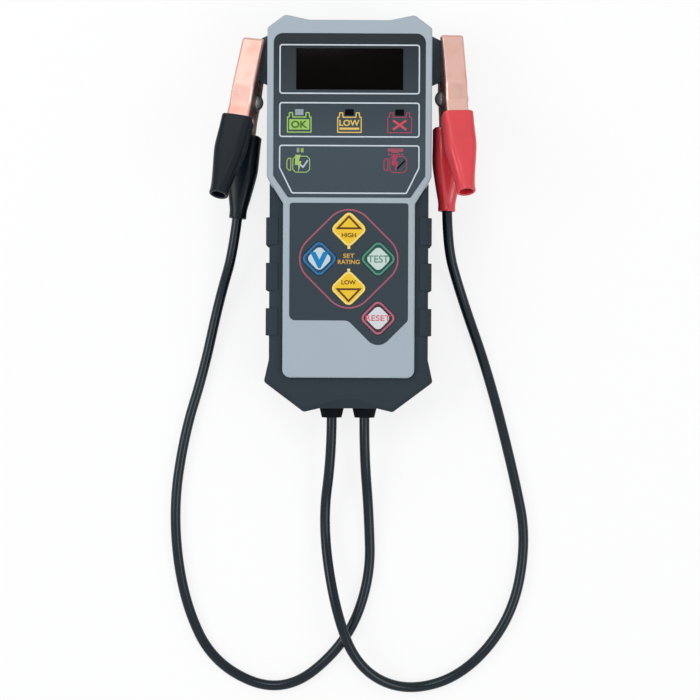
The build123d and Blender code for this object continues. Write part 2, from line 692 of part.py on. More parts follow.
def parking_lug(side):
    """Black lug that a clamp bites: outer wedge, shank through the wall, flange inside."""
    face_out = HEAD_WIDTH / 2 + LUG_GAP
    wall_in = HEAD_WIDTH / 2 - SHADOW_GAP - WALL - LUG_GAP
    outer = rounded([
        (face_out, LUG_Y - LUG_BASE / 2, 0),
        (face_out + LUG_NECK, LUG_Y - LUG_SHANK / 2, LUG_NECK_ROUND),
        (LUG_REACH, LUG_Y - LUG_SHANK / 2, LUG_ROUND),
        (LUG_REACH, LUG_Y + LUG_SHANK / 2, LUG_ROUND),
        (face_out + LUG_NECK, LUG_Y + LUG_SHANK / 2, LUG_NECK_ROUND),
        (face_out, LUG_Y + LUG_BASE / 2, 0),
    ])
    mirrored_black = parked((-BLACK_PIVOT[0], *BLACK_PIVOT[1:]), -BLACK_YAW, -BLACK_ROLL)
    lug = slab(outer, 0, CASE_DEPTH) & jaw_wedge(parked(RED_PIVOT, RED_YAW, RED_ROLL))
    lug = lug & jaw_wedge(mirrored_black)
    shank = (face_out - wall_in, LUG_SHANK)
    lug += block(wall_in + shank[0] / 2, LUG_Y, shank, LUG_LOW, PARTING - LUG_GAP)
    flange = (LUG_FLANGE, LUG_SHANK + 2 * LUG_FLANGE_GROW)
    lug += block(wall_in - LUG_FLANGE / 2, LUG_Y, flange, LUG_LOW - LUG_FLANGE_GROW,
                 PARTING - LIP_HEIGHT - LUG_GAP)
    return lug if side > 0 else mirror(lug, about=Plane.YZ)


# ================================================================ clamps
def parked(pivot, yaw, roll):
    """Where a clamp's own frame lies when it is parked on its lug."""
    return Pos(*pivot) * Rot(0, 0, yaw) * Rot(0, roll, 0) * Rot(-BISECTOR_TILT, 0, 0)


def handle_line():
    """Crown point, direction along the handle and outward normal, in the closed half."""
    angle = radians(HANDLE_ANGLE)
    return (CROWN_Y, CROWN_HEIGHT), (-cos(angle), sin(angle)), (sin(angle), cos(angle))


def on_handle(along, inward):
    """A point of the handle: a distance from the crown and a depth below the web."""
    (y, z), (dy, dz), (ny, nz) = handle_line()
    return (y + along * dy - inward * ny, z + along * dz - inward * nz)


def web_points(drop):
    """The bent web seen from the side, lowered by the sheet's thickness or not at all."""
    end = on_handle(HANDLE_LENGTH + CUT_PAST * drop, drop)
    return [
        (JAW_LENGTH - drop, NOSE_HEIGHT - drop, NOSE_ROUND - drop),
        (BEND_Y, BEND_HEIGHT - drop, BEND_ROUND - drop),
        (CROWN_Y, CROWN_HEIGHT - drop, BEND_ROUND - drop),
        (end[0], end[1], 0),
    ]


def cheek_plan():
    """Side view of one half: web, handle, ear, throat and teeth."""
    low_end = on_handle(HANDLE_LENGTH, HANDLE_DEPTH)
    root = on_handle(EAR + ROOT, HANDLE_DEPTH)
    edge = [(*low_end, TAIL_ROUND), (*root, ROOT_ROUND), (-EAR, 0, 0), (EAR, 0, 0)]
    edge += [(EAR + THROAT_START, THROAT, THROAT_ROUND), (THROAT_END - THROAT_STOP, THROAT, THROAT_ROUND)]
    for i in range(TEETH):
        tip = THROAT_END + i * TOOTH_PITCH
        edge += [(tip, 0, 0), (tip + TOOTH_PITCH * TOOTH_FLANK, TOOTH_DEPTH, 0)]
    edge += [(JAW_LENGTH - TIP_FLAT, 0, 0), (JAW_LENGTH, 0, 0)]
    return rounded(web_points(0) + edge) + Circle(EAR)


def clamp_half(width, rivet_gap):
    """One half of the sheet-metal clamp: a channel with toothed cheeks."""
    half = extrude(Plane.YZ * cheek_plan(), width / 2, both=True)
    corners = web_points(0)
    web = Plane.YZ * FilletPolyline(*[(y, z) for y, z, _ in corners],
                                    radius=[r for _, _, r in corners[1:-1]])
    bends = [e for e in half.edges()
             if abs(abs(e.center().X) - width / 2) < 1e-3
             and web.distance_to(Vector(0, e.center().Y, e.center().Z)) < 0.02]
    half = fillet(bends, SHEET_ROUND)
    below = -2 * EAR
    hollow = [(JAW_LENGTH - SHEET, below, 0)] + web_points(SHEET)
    hollow += [(hollow[-1][0], below, 0)]
    half -= extrude(Plane.YZ * rounded(hollow), width / 2 - SHEET, both=True)
    half -= extrude(Plane.YZ * Circle(RIVET + rivet_gap), width, both=True)
    return half


def rivet():
    """Domed rivet through all four cheeks."""
    side = OUTER_WIDTH / 2 + NEST_GAP
    ball = (RIVET_HEAD ** 2 + RIVET_DOME ** 2) / (2 * RIVET_DOME)
    profile = make_face([
        Polyline((0, 0), (RIVET, 0), (RIVET, side), (RIVET_HEAD, side)),
        RadiusArc((RIVET_HEAD, side), (0, side + RIVET_DOME), -ball),
        Line((0, side + RIVET_DOME), (0, 0)),
    ])
    right = Rot(0, 90, 0) * Rot(90, 0, 0) * revolve(profile, Axis.Y)
    return right + mirror(right, about=Plane.YZ)


def spring_leg(x, end):
    """A straight leg from the coil's edge to a point under a web."""
    y, z = end
    radius = COIL_RADIUS - LEG_SINK
    lean = atan2(z, y) - acos(radius / hypot(y, z))
    foot = Vector(x, radius * cos(lean), radius * sin(lean))
    along = Vector(x, y, z) - foot
    start = foot - along.normalized() * WIRE / 2
    return Plane(origin=start, z_dir=along) * extrude(Circle(WIRE / 2), along.length + WIRE / 2)


def spring():
    """Torsion spring: close turns round the rivet and a leg under each web."""
    last = (COIL_TURNS - 1) / 2 * WIRE
    half, inner = last + WIRE / 2, COIL_RADIUS - WIRE / 2
    turns = [
        ThreePointArc((x - WIRE / 2, COIL_RADIUS), (x, COIL_RADIUS + WIRE / 2),
                      (x + WIRE / 2, COIL_RADIUS))
        for x in [i * WIRE - last for i in range(COIL_TURNS)]
    ]
    inside = Polyline((half, COIL_RADIUS), (half, inner), (-half, inner), (-half, COIL_RADIUS))
    coil = revolve(make_face(turns + [inside]), Axis.X)
    y, z = on_handle(LEG_REACH, SHEET + WIRE / 2 + LEG_GAP)
    turn = radians(JAW_OPEN / 2)
    leg = spring_leg(last, (y * cos(turn) - z * sin(turn), y * sin(turn) + z * cos(turn)))
    return coil + leg + mirror(mirror(leg, about=Plane.XY), about=Plane.YZ)


def boot_skin(stations, sizes, corner):
    """Loft through rectangles with round corners, set along the boot's length."""
    sections = [
        Pos(0, 0, place) * RectangleRounded(wide, high, corner * min(wide, high))
        for place, (wide, high) in zip(stations, sizes)
    ]
    return loft(sections, ruled=True)


def boot(end, hole):
    """Soft sleeve over a handle: belly, tapered round end, mouth with a lip, open both ends."""
    outer = [BOOT_MOUTH, BOOT_BELLY, BOOT_WAIST, (end, end)]
    inner = [(wide - 2 * BOOT_WALL, high - 2 * BOOT_WALL) for wide, high in outer[:-1]]
    stations = [share * BOOT_LENGTH for share in BOOT_STATIONS]
    cavity = boot_skin([BOOT_LIP] + stations[1:], inner, BOOT_CAVITY_CORNER)
    bore = post(0, 0, hole / 2, stations[-2], BOOT_LENGTH)
    return boot_skin(stations, outer, BOOT_CORNER) - cavity - bore


def boot_on(along, skew, width, sleeve):
    """A boot put on the closed upper handle, its lip cut to fit the handle."""
    (_, _), (dy, dz), _ = handle_line()
    y, z = on_handle(along, BOOT_SLOT / 2)
    slot = Rectangle(width + 2 * BOOT_FIT, BOOT_SLOT + 2 * BOOT_FIT)
    mouth = Plane(origin=(0, y, z), x_dir=(1, 0, 0), z_dir=(0, dy, dz))
    return boot_frame(along, skew) * sleeve - mouth * extrude(slot, 2 * BOOT_LIP, both=True)


def boot_frame(along, skew):
    """A boot's own frame on the closed upper handle: origin at its mouth, +Z to its end."""
    _, (dy, dz), _ = handle_line()
    y, z = on_handle(along, HANDLE_DEPTH / 2)
    return Location(Plane(origin=(0, y, z), x_dir=(1, 0, 0), z_dir=(0, dy, dz))) * Rot(0, skew, 0)


class Clamp:
    """One clamp on its lug: upper half and its empty boot, lower half with the cable's boot."""

    def __init__(self, seat, free_boot_at, cable_boot_at, skew):
        self.seat = seat
        self.free_boot_at = free_boot_at
        self.cable_boot_at = cable_boot_at
        self.skew = skew
        self.upper = self.seat * Rot(JAW_OPEN / 2, 0, 0)
        self.lower = self.seat * Rot(-JAW_OPEN / 2, 0, 0)

    def pieces(self):
        lower_half = mirror(clamp_half(INNER_WIDTH, RIVET_GAP / 2), about=Plane.XY)
        free = boot_on(self.free_boot_at, self.skew, OUTER_WIDTH, boot(BOOT_END, BOOT_HOLE))
        full = boot_on(self.cable_boot_at, -self.skew, INNER_WIDTH,
                       boot(CABLE_BOOT_END, CABLE + 2 * BOOT_FIT))
        return {
            "upper_jaw": self.upper * clamp_half(OUTER_WIDTH, RIVET_GAP),
            "lower_jaw": self.lower * lower_half,
            "rivet": self.seat * rivet(),
            "spring": self.seat * spring(),
            "upper_boot": self.upper * free,
            "lower_boot": self.lower * mirror(full, about=Plane.XY),
            "crimp": self.crimp(),
        }

    def crimp(self):
        """Crimp that joins the lead's tip to the channel of the lower handle."""
        tip = Vector(*self.cable_point(-CABLE_IN))
        in_channel = HANDLE_LENGTH - CRIMP_BITE - self.cable_boot_at
        along = Vector(*self.cable_point(in_channel - BOOT_LENGTH)) - tip
        core = extrude(Circle(HANDLE_DEPTH / 2 - SHEET), along.length)
        return Plane(origin=tip, z_dir=along) * core

    def cable_point(self, out):
        """A point on the cable boot's axis, so far outside its end."""
        frame = boot_frame(self.cable_boot_at, -self.skew)
        point = (frame * Pos(0, 0, BOOT_LENGTH + out)).position
        return tuple((self.lower * Pos(point.X, point.Y, -point.Z)).position)


def parked_clamps():
    """Both clamps on their lugs; each boot was pushed on by hand, so no two sit alike."""
    black = parked(BLACK_PIVOT, BLACK_YAW, BLACK_ROLL)
    red = parked(RED_PIVOT, RED_YAW, RED_ROLL)
    return {
        "black": Clamp(black, BLACK_FREE_BOOT_AT, BLACK_CABLE_BOOT_AT, -BOOT_SKEW),
        "red": Clamp(red, RED_FREE_BOOT_AT, RED_CABLE_BOOT_AT, BOOT_SKEW),
    }


# ================================================================ nodes
def nodes():
    """Every sub-part by its name."""
    clamps = parked_clamps()
    parts = {
        "front_cover": front_cover(),
        "rear_cover": rear_cover(),
        "grip_sleeve": grip_sleeve(),
        "display_film": display_film(),
        "keypad_film": keypad_film(),
        "display_window": display_window(),
        "display_module": display_module(),
        "main_board": main_board(),
        "switch_bases": switch_bases(),
        "controller_chip": under_board(CHIP_AT, CHIP),
        "load_resistor": under_board(RESISTOR_AT, RESISTOR),
        "filter_capacitor": filter_capacitor(),
        "lead_terminals": lead_terminals(),
        "case_screws": screws(CASE_SCREWS, CASE_SHANK, CASE_HEAD, CASE_HEAD_HEIGHT,
                              SINK_DEPTH, PARTING + CASE_BITE),
        "board_screws": screws(BOARD_SCREWS, BOARD_SHANK, BOARD_HEAD, BOARD_HEAD_HEIGHT,
                               BOARD_BACK, BOARD_TOP + BOARD_BITE),
        "parking_lug_black": parking_lug(-1),
        "parking_lug_red": parking_lug(1),
    }
    for name, place in LAMPS.items():
        parts[f"lamp_{name}"] = lamp(place)
    for name, (x, y) in KEYS.items():
        parts[f"key_{name}"] = key_cap(x, y)
        parts[f"plunger_{name}"] = switch_plunger(x, y)
    routes = {"black": (BLACK_ROUTE, RELIEF_X[1]), "red": (RED_ROUTE, RELIEF_X[0])}
    for colour, (route, x) in routes.items():
        parts[f"strain_relief_{colour}"] = strain_relief(x)
        parts[f"inner_lead_{colour}"] = inner_lead(x)
        parts[f"lead_{colour}"] = lead(route, clamps[colour])
        for name, piece in clamps[colour].pieces().items():
            parts[f"{name}_{colour}"] = piece
    return parts


if __name__ == "__main__":
    os.makedirs("parts", exist_ok=True)
    for name, part in nodes().items():
        export_step(part, f"parts/{name}.step")
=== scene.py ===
"""Dresses the frame of a handheld battery tester: printed films, keys, lamps, clamps and
leads, with the stage, the light and the view. Metres, in the frame of the solids."""
import json
import math

import bpy
from bpy.props import FloatProperty, FloatVectorProperty, PointerProperty
from mathutils import Matrix, Vector


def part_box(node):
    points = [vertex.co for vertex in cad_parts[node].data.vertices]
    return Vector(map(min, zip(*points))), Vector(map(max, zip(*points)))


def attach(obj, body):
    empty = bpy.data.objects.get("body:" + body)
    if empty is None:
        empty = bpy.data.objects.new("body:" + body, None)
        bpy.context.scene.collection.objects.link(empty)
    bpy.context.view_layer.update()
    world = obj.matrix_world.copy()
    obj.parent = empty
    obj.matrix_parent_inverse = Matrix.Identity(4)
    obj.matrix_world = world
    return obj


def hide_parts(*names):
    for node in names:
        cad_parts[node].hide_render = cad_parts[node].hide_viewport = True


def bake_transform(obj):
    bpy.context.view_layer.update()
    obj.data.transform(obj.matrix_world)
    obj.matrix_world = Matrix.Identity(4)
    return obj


bl_info = {
    "name": "Battery Tester Finish",
    "version": (1, 0, 0),
    "blender": (4, 5, 0),
    "location": "3D View > Sidebar > Tester",
    "description": "Finishes, prints and soft parts of a handheld battery tester",
    "category": "Object",
}

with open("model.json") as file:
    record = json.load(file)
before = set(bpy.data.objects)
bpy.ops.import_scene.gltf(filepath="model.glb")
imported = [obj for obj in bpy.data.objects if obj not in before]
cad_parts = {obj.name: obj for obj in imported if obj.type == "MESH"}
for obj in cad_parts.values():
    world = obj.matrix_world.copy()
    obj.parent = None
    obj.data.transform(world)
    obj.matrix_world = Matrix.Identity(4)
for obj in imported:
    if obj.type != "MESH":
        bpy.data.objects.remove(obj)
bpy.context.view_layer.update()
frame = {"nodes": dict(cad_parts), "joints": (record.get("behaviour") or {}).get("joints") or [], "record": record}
MM = 0.001
BODY = "tester"
SIDES = ("black", "red")
KEY_BODIES = {name: f"{name}_key" for name in ("high", "low", "volts", "test", "reset")}

# heights, from the frame
FILM_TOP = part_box("display_film")[1][2]
KEY_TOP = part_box("key_test")[1][2]


def centre(node):
    """Middle of a node's box."""
    low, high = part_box(node)
    return (Vector(low) + Vector(high)) / 2


# ------------------------------ sizes and colours
def length(label, default, note):
    return FloatProperty(name=label, description=note, default=default, min=0.0,
                         subtype="DISTANCE", unit="LENGTH", precision=5)


def colour(label, default, note):
    return FloatVectorProperty(name=label, description=note, default=default, min=0.0, max=1.0,
                               size=3, subtype="COLOR")


class TesterPrint(bpy.types.PropertyGroup):
    """Inks and line widths of the printed films and keys."""
    ink: length("Ink thickness", 0.03 * MM, "Height of the printed ink over the film")
    frame_line: length("Frame line", 0.65 * MM, "Width of the white frame lines")
    icon_line: length("Icon line", 0.55 * MM, "Width of the battery outlines")
    ring_line: length("Ring line", 0.75 * MM, "Width of the ring round the four keys")
    white: colour("White", (0.59, 0.66, 0.72), "Frame lines")
    green: colour("Green", (0.31, 0.53, 0.12), "Good battery sign")
    yellow: colour("Yellow", (0.70, 0.49, 0.12), "Low battery sign")
    red: colour("Red", (0.62, 0.065, 0.095), "Cross of the bad battery")
    crimson: colour("Crimson", (0.37, 0.045, 0.090), "Outlines of the two bad signs")
    rose: colour("Rose", (0.31, 0.070, 0.105), "Band round the bad lamp")
    ring: colour("Ring", (0.37, 0.090, 0.135), "Ring round the four keys")
    gold: colour("Gold", (0.62, 0.36, 0.07), "Lettering between the keys")


class TesterCase(bpy.types.PropertyGroup):
    """Colours of the housing and its soft parts."""
    shell: colour("Shell", (0.365, 0.430, 0.482), "Front shell")
    tub: colour("Tub", (0.032, 0.050, 0.066), "Rear shell and parking lugs")
    grip: colour("Grip", (0.023, 0.034, 0.044), "Rubber grip")
    film: colour("Film", (0.033, 0.048, 0.061), "Background of both films")
    red_vinyl: colour("Red vinyl", (0.70, 0.036, 0.048), "Boots of the positive clamp")
    black_vinyl: colour("Black vinyl", (0.004, 0.009, 0.014), "Boots of the negative clamp")
    sheath: colour("Sheath", (0.004, 0.0065, 0.010), "Cable sheath")
    copper: colour("Copper", (0.80, 0.50, 0.43), "Plated clamp halves")


class TesterView(bpy.types.PropertyGroup):
    """Camera and light."""
    distance: length("Distance", 0.900, "Camera above the front face")
    field: length("Field", 0.350, "Width of the view at the front face")
    tilt: FloatProperty(name="Roll", description="Turn of the camera about its axis",
                        default=0.005, subtype="ANGLE", unit="ROTATION")
    lamp_power: FloatProperty(name="Lamp power", description="Power of the main lamp in watts",
                              default=9.0, min=0.0)
    sky: FloatProperty(name="Sky", description="Strength of the even light all round",
                       default=0.56, min=0.0)
    shine: FloatProperty(name="Shine", description="Strength of the sky in reflections",
                         default=0.95, min=0.0)


# ------------------------------ material building
class Value:
    """A socket of a node tree, so that sums of sockets read as sums."""

    def __init__(self, graph, socket):
        self.graph = graph
        self.socket = socket

    def maths(self, operation, first, second=0.0):
        return self.graph.node("ShaderNodeMath", {"operation": operation}, {0: first, 1: second})

    def __add__(self, other):
        return self.maths("ADD", self, other)

    def __radd__(self, other):
        return self.maths("ADD", other, self)

    def __sub__(self, other):
        return self.maths("SUBTRACT", self, other)

    def __rsub__(self, other):
        return self.maths("SUBTRACT", other, self)

    def __mul__(self, other):
        return self.maths("MULTIPLY", self, other)

    def __abs__(self):
        return self.maths("ABSOLUTE", self)

    def over(self, limit):
        """1 above the limit, 0 below it."""
        return self.maths("GREATER_THAN", self, limit)

    def ramp(self, low, high):
        """0 at low, 1 at high and straight between, held at both ends."""
        values = {"Value": self, "From Min": low, "From Max": high}
        return self.graph.node("ShaderNodeMapRange", {"clamp": True}, values)


class Graph:
    """A node tree under construction."""

    def __init__(self, tree):
        self.tree = tree

    def node(self, kind, settings=None, inputs=None, output=0):
        """Adds a node: settings first, then the values or links of its sockets."""
        node = self.tree.nodes.new(kind)
        for name, value in (settings or {}).items():
            setattr(node, name, value)
        for name, value in (inputs or {}).items():
            self.feed(node.inputs[name], value)
        return Value(self, node.outputs[output])

    def feed(self, socket, value):
        if isinstance(value, Value):
            self.tree.links.new(value.socket, socket)
        elif hasattr(value, "__len__") and len(value) == 3 and socket.type == "RGBA":
            socket.default_value = (*value, 1.0)
        else:
            socket.default_value = value

    def axis(self, letter, space="Object"):
        """One coordinate of a point, or of a direction where the space is Generated."""
        point = self.node("ShaderNodeTexCoord", output=space)
        return self.node("ShaderNodeSeparateXYZ", {}, {"Vector": point}, "XYZ".index(letter))


class Finish(Graph):
    """A material under construction round one Principled shader."""

    def __init__(self, name):
        self.material = bpy.data.materials.new(name)
        self.material.use_nodes = True
        super().__init__(self.material.node_tree)
        self.shader = self.tree.nodes["Principled BSDF"]

    def place(self, scale=(1.0, 1.0, 1.0)):
        """Object coordinates, stretched."""
        point = self.node("ShaderNodeTexCoord", output="Object")
        return self.node("ShaderNodeMapping", {}, {"Vector": point, "Scale": scale})

    def noise(self, scale, detail, stretch=(1.0, 1.0, 1.0)):
        inputs = {"Vector": self.place(stretch), "Scale": scale, "Detail": detail}
        return self.node("ShaderNodeTexNoise", {}, inputs)

    def mix(self, amount, low, high):
        """Blend of two colours."""
        node = self.tree.nodes.new("ShaderNodeMix")
        node.data_type = "RGBA"
        self.feed(node.inputs[0], amount)
        self.feed(node.inputs[6], low)
        self.feed(node.inputs[7], high)
        return Value(self, node.outputs[2])

    def mottle(self, amount, base, low, high):
        """Blend of a darker and a lighter tone of one colour."""
        return self.mix(amount, lighter(base, low), lighter(base, high))

    def bump(self, height, strength, depth, under=None):
        inputs = {"Height": height, "Strength": strength, "Distance": depth}
        if under is not None:
            inputs["Normal"] = under
        return self.node("ShaderNodeBump", {}, inputs)

    def shade(self, **inputs):
        """Feeds the shader's sockets and returns the material."""
        for name, value in inputs.items():
            self.feed(self.shader.inputs[name.replace("_", " ")], value)
        return self.material


def lighter(base, factor):
    return tuple(min(1.0, channel * factor) for channel in base)


# ------------------------------ finishes
# painted sheen of the display film: tones at its foot and head, as shares of its own, and where they are reached;
# the lighter foot and darker head are painted reflected light
SHEEN_SHARES = (1.36, 0.42)
SHEEN_ENDS = (34 * MM, 86 * MM)


def moulded_plastic(name, base, rough, grain, cloud=0.05):
    """Spark-eroded moulding: fine even grain over faint broad clouds."""
    finish = Finish(name)
    broad = finish.noise(38.0, 3.0)
    fine = finish.noise(3200.0, 2.0)
    tone = finish.mottle(broad, base, 1 - cloud, 1 + cloud)
    normal = finish.bump(fine, grain, 0.06 * MM)
    return finish.shade(Base_Color=tone, Roughness=rough - 0.05 + broad * 0.1, Normal=normal,
                        Specular_IOR_Level=0.25)


def soft_rubber(name, base, rough=0.66, shine=0.2):
    """Thermoplastic rubber: close stipple, dull and slightly cloudy."""
    finish = Finish(name)
    broad = finish.noise(26.0, 4.0)
    cells = finish.node("ShaderNodeTexVoronoi", {}, {"Vector": finish.place(), "Scale": 1500.0})
    tone = finish.mottle(broad, base, 0.9, 1.14)
    normal = finish.bump(cells, 0.3, 0.08 * MM)
    return finish.shade(Base_Color=tone, Roughness=rough + broad * 0.1, Normal=normal,
                        Specular_IOR_Level=shine)


def printed_film(name, base, shares=(1.0,)):
    """Textured polycarbonate film in one tone, or with a painted sheen that is lighter at the foot and darker at
    the head.
    """
    finish = Finish(name)
    broad = finish.noise(15.0, 2.0)
    fine = finish.noise(5200.0, 1.0)
    tones = [finish.mottle(broad, base, share * 0.93, share * 1.09) for share in shares]
    # painted sheen: the film's colour ramps from lighter at the foot to darker at the head
    tone = finish.mix(finish.axis("Y").ramp(*SHEEN_ENDS), *tones) if len(tones) > 1 else tones[0]
    normal = finish.bump(fine, 0.12, 0.03 * MM)
    return finish.shade(Base_Color=tone, Roughness=0.33 + broad * 0.06, Normal=normal,
                        Specular_IOR_Level=0.16)


def ink(name, base, rough=0.42, shine=0.2):
    """Screen-printed ink: solid, with the mesh's faint unevenness."""
    finish = Finish(name)
    speck = finish.noise(2600.0, 1.0)
    tone = finish.mottle(speck, base, 0.95, 1.05)
    return finish.shade(Base_Color=tone, Roughness=rough + speck * 0.06, Specular_IOR_Level=shine)


def copper_plate(name, base):
    """Copper-plated steel sheet: rolling lines, breaths of tarnish, duller patches."""
    finish = Finish(name)
    clouds = finish.noise(70.0, 4.0)
    lines = finish.noise(900.0, 2.0, (1.0, 0.06, 1.0))
    tarnish = clouds.ramp(0.52, 0.78)
    tone = finish.mix(tarnish, base, (base[0] * 0.86, base[1] * 0.72, base[2] * 0.64))
    normal = finish.bump(lines, 0.12, 0.04 * MM)
    rough = 0.16 + clouds * 0.2 + lines * 0.08
    return finish.shade(Base_Color=tone, Metallic=1.0, Roughness=rough, Normal=normal)


def zinc_plate(name, base):
    """Bright zinc-plated steel with fine scratches."""
    finish = Finish(name)
    marks = finish.noise(700.0, 3.0)
    tone = finish.mottle(marks, base, 0.86, 1.1)
    normal = finish.bump(marks, 0.05, 0.05 * MM)
    return finish.shade(Base_Color=tone, Metallic=1.0, Roughness=0.2 + marks * 0.15,
                        Normal=normal)


def dipped_vinyl(name, base, rough=0.14, shine=0.66):
    """Dipped vinyl sleeve: smooth glossy skin with slow waves."""
    finish = Finish(name)
    broad = finish.noise(90.0, 3.0)
    fine = finish.noise(1500.0, 2.0)
    tone = finish.mottle(broad, base, 0.88, 1.08)
    normal = finish.bump(fine, 0.08, 0.05 * MM, finish.bump(broad, 0.12, 0.5 * MM))
    return finish.shade(Base_Color=tone, Roughness=rough + broad * 0.1, Normal=normal,
                        Specular_IOR_Level=shine)


def cable_sheath(name, base):
    """Extruded sheath: glossy black, with the faint waviness of the extrusion."""
    finish = Finish(name)
    waves = finish.noise(160.0, 2.0)
    fine = finish.noise(2400.0, 1.0)
    tone = finish.mottle(waves, base, 0.8, 1.35)
    normal = finish.bump(fine, 0.1, 0.04 * MM)
    return finish.shade(Base_Color=tone, Roughness=0.16 + waves * 0.1, Normal=normal,
                        Specular_IOR_Level=0.37, Specular_Tint=(0.74, 0.91, 1.0))


def smoked_lens(name):
    """Dark clear lens, so dark that unlit digits barely show."""
    finish = Finish(name)
    broad = finish.noise(60.0, 1.0)
    return finish.shade(Base_Color=(0.003, 0.002, 0.002), Roughness=0.05 + broad * 0.03,
                        Alpha=0.83, Specular_IOR_Level=0.045)


def lamp_lens(name, base, shine=0.2):
    """Frosted epoxy of an unlit lamp."""
    finish = Finish(name)
    grains = finish.noise(3000.0, 2.0)
    tone = finish.mottle(grains, base, 0.85, 1.15)
    normal = finish.bump(grains, 0.15, 0.03 * MM)
    return finish.shade(Base_Color=tone, Roughness=0.3 + grains * 0.15, Normal=normal,
                        Specular_IOR_Level=shine)


def split_lamp(name, middle, gap):
    """Two-colour lamp: a clear die and a green one, each at half the dark gap from the middle."""
    finish = Finish(name)
    across = finish.axis("X") - middle
    grains = finish.noise(3000.0, 2.0)
    die = finish.mix(across.over(0.0), (0.24, 0.30, 0.32), (0.24, 0.42, 0.06))
    tone = finish.mix(abs(across).over(gap), (0.02, 0.03, 0.03), die)
    return finish.shade(Base_Color=tone, Roughness=0.3 + grains * 0.15)


def circuit_board(name):
    """Green solder mask with faint tracks."""
    finish = Finish(name)
    point = finish.place((1.0, 1.0, 0.0))
    bars = finish.node("ShaderNodeTexBrick", {}, {
        "Vector": point, "Scale": 220.0, "Mortar Size": 0.06, "Color1": (0.006, 0.060, 0.022),
        "Color2": (0.008, 0.085, 0.030), "Mortar": (0.02, 0.16, 0.06)})
    speck = finish.noise(900.0, 2.0)
    return finish.shade(Base_Color=bars, Roughness=0.3 + speck * 0.15)


# ------------------------------ modelling helpers
def deselect():
    if bpy.context.mode != "OBJECT":
        bpy.ops.object.mode_set(mode="OBJECT")
    bpy.ops.object.select_all(action="DESELECT")


def wake(piece):
    """Makes the piece the only selected and active object."""
    deselect()
    piece.select_set(True)
    bpy.context.view_layer.objects.active = piece


def added(name, data):
    """A new object in the scene."""
    piece = bpy.data.objects.new(name, data)
    bpy.context.scene.collection.objects.link(piece)
    return piece


def dress(piece, material, body):
    """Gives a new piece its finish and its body."""
    piece.data.materials.clear()
    piece.data.materials.append(material)
    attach(piece, body)


def finish_node(name, material):
    """Gives a carried-over node its finish."""
    node = frame["nodes"][name]
    if not node.material_slots:
        node.data.materials.append(material)
    for holder in node.material_slots:
        holder.material = material


def rounded(points, radius, steps):
    """The closed outline with an arc at each corner."""
    if not radius:
        return [tuple(point) for point in points]
    outline, count = [], len(points)
    for i, here in enumerate(points):
        here = Vector(here)
        back, ahead = Vector(points[i - 1]) - here, Vector(points[(i + 1) % count]) - here
        half = back.angle(ahead) / 2
        reach = min(radius / math.tan(half), back.length * 0.49, ahead.length * 0.49)
        back.normalize()
        ahead.normalize()
        middle = here + (back + ahead).normalized() * reach / math.cos(half)
        first = here + back * reach - middle
        sweep = math.copysign(math.pi - 2 * half, ahead.cross(back))
        for k in range(steps + 1):
            turn = Matrix.Rotation(sweep * k / steps, 2)
            outline.append(tuple(middle + turn @ first))
    return outline


def shrunk(points, line):
    """The closed outline with each side moved inward by the line's width."""
    count = len(points)
    area = sum(points[i - 1][0] * points[i][1] - points[i][0] * points[i - 1][1]
               for i in range(count))
    side = math.copysign(line, area)
    outline = []
    for i, here in enumerate(points):
        here = Vector(here)
        back = (here - Vector(points[i - 1])).normalized()
        ahead = (Vector(points[(i + 1) % count]) - here).normalized()
        first, second = (Vector((-arm.y, arm.x)) for arm in (back, ahead))
        outline.append(tuple(here + (first + second) * side / (1 + first.dot(second))))
    return outline


def loop(name, points, low, fill):
    """Closed ring of edges, or one face, through (x, y) points."""
    deselect()
    bpy.ops.mesh.primitive_circle_add(vertices=len(points), fill_type=fill)
    piece = bpy.context.object
    piece.name = name
    for vertex, (x, y) in zip(piece.data.vertices, points):
        vertex.co = (x, y, low)
    return piece


LEAST_ROUND = 0.02 * MM


def flat(name, points, low, thick, corner=0.0, line=None, steps=6):
    """Flat printed shape: filled, or only its border where a line width is given."""
    outer = rounded(points, corner, steps)
    if line:
        inner = rounded(shrunk(points, line), corner and max(corner - line, LEAST_ROUND), steps)
        piece = joined(name, [loop(name, ring, low, "NOTHING") for ring in (outer, inner)])
        bpy.ops.object.mode_set(mode="EDIT")
        bpy.ops.mesh.select_all(action="SELECT")
        bpy.ops.mesh.bridge_edge_loops()
    else:
        piece = loop(name, outer, low, "NGON")
        bpy.ops.object.mode_set(mode="EDIT")
    bpy.ops.mesh.select_all(action="SELECT")
    bpy.ops.mesh.extrude_region_move(TRANSFORM_OT_translate={"value": (0, 0, thick)})
    bpy.ops.mesh.select_all(action="SELECT")
    bpy.ops.mesh.remove_doubles(threshold=1e-7)
    bpy.ops.mesh.normals_make_consistent(inside=False)
    deselect()
    return piece


def box_points(x, y, wide, high):
    """Corners of an upright rectangle about a middle."""
    return [(x - wide / 2, y - high / 2), (x + wide / 2, y - high / 2),
            (x + wide / 2, y + high / 2), (x - wide / 2, y + high / 2)]


def diamond_points(x, y, side):
    """Corners of a square on its corner."""
    reach = side / 2 ** 0.5
    return [(x, y - reach), (x + reach, y), (x, y + reach), (x - reach, y)]


def moved(points, x, y, unit=1.0, flip=1):
    """Points about a middle, in their own unit and turned over where flip is -1."""
    return [(x + px * unit, y + flip * py * unit) for px, py in points]


def stroke(start, end, wide):
    """Corners of a straight stroke between two points."""
    start, end = Vector(start), Vector(end)
    across = (end - start).normalized().orthogonal() * wide / 2
    corners = (start - across, end - across, end + across, start + across)
    return [tuple(corner) for corner in corners]


def joined(name, pieces):
    """One object of several."""
    deselect()
    for piece in pieces:
        piece.select_set(True)
    bpy.context.view_layer.objects.active = pieces[0]
    if len(pieces) > 1:
        bpy.ops.object.join()
    pieces[0].name = name
    return pieces[0]


def printed(name, pieces, material):
    """Joins prints of one ink into one piece of the tester."""
    dress(joined(name, pieces), material, BODY)


CAP_SHARE = 0.72  # height of a capital as a share of the font's size


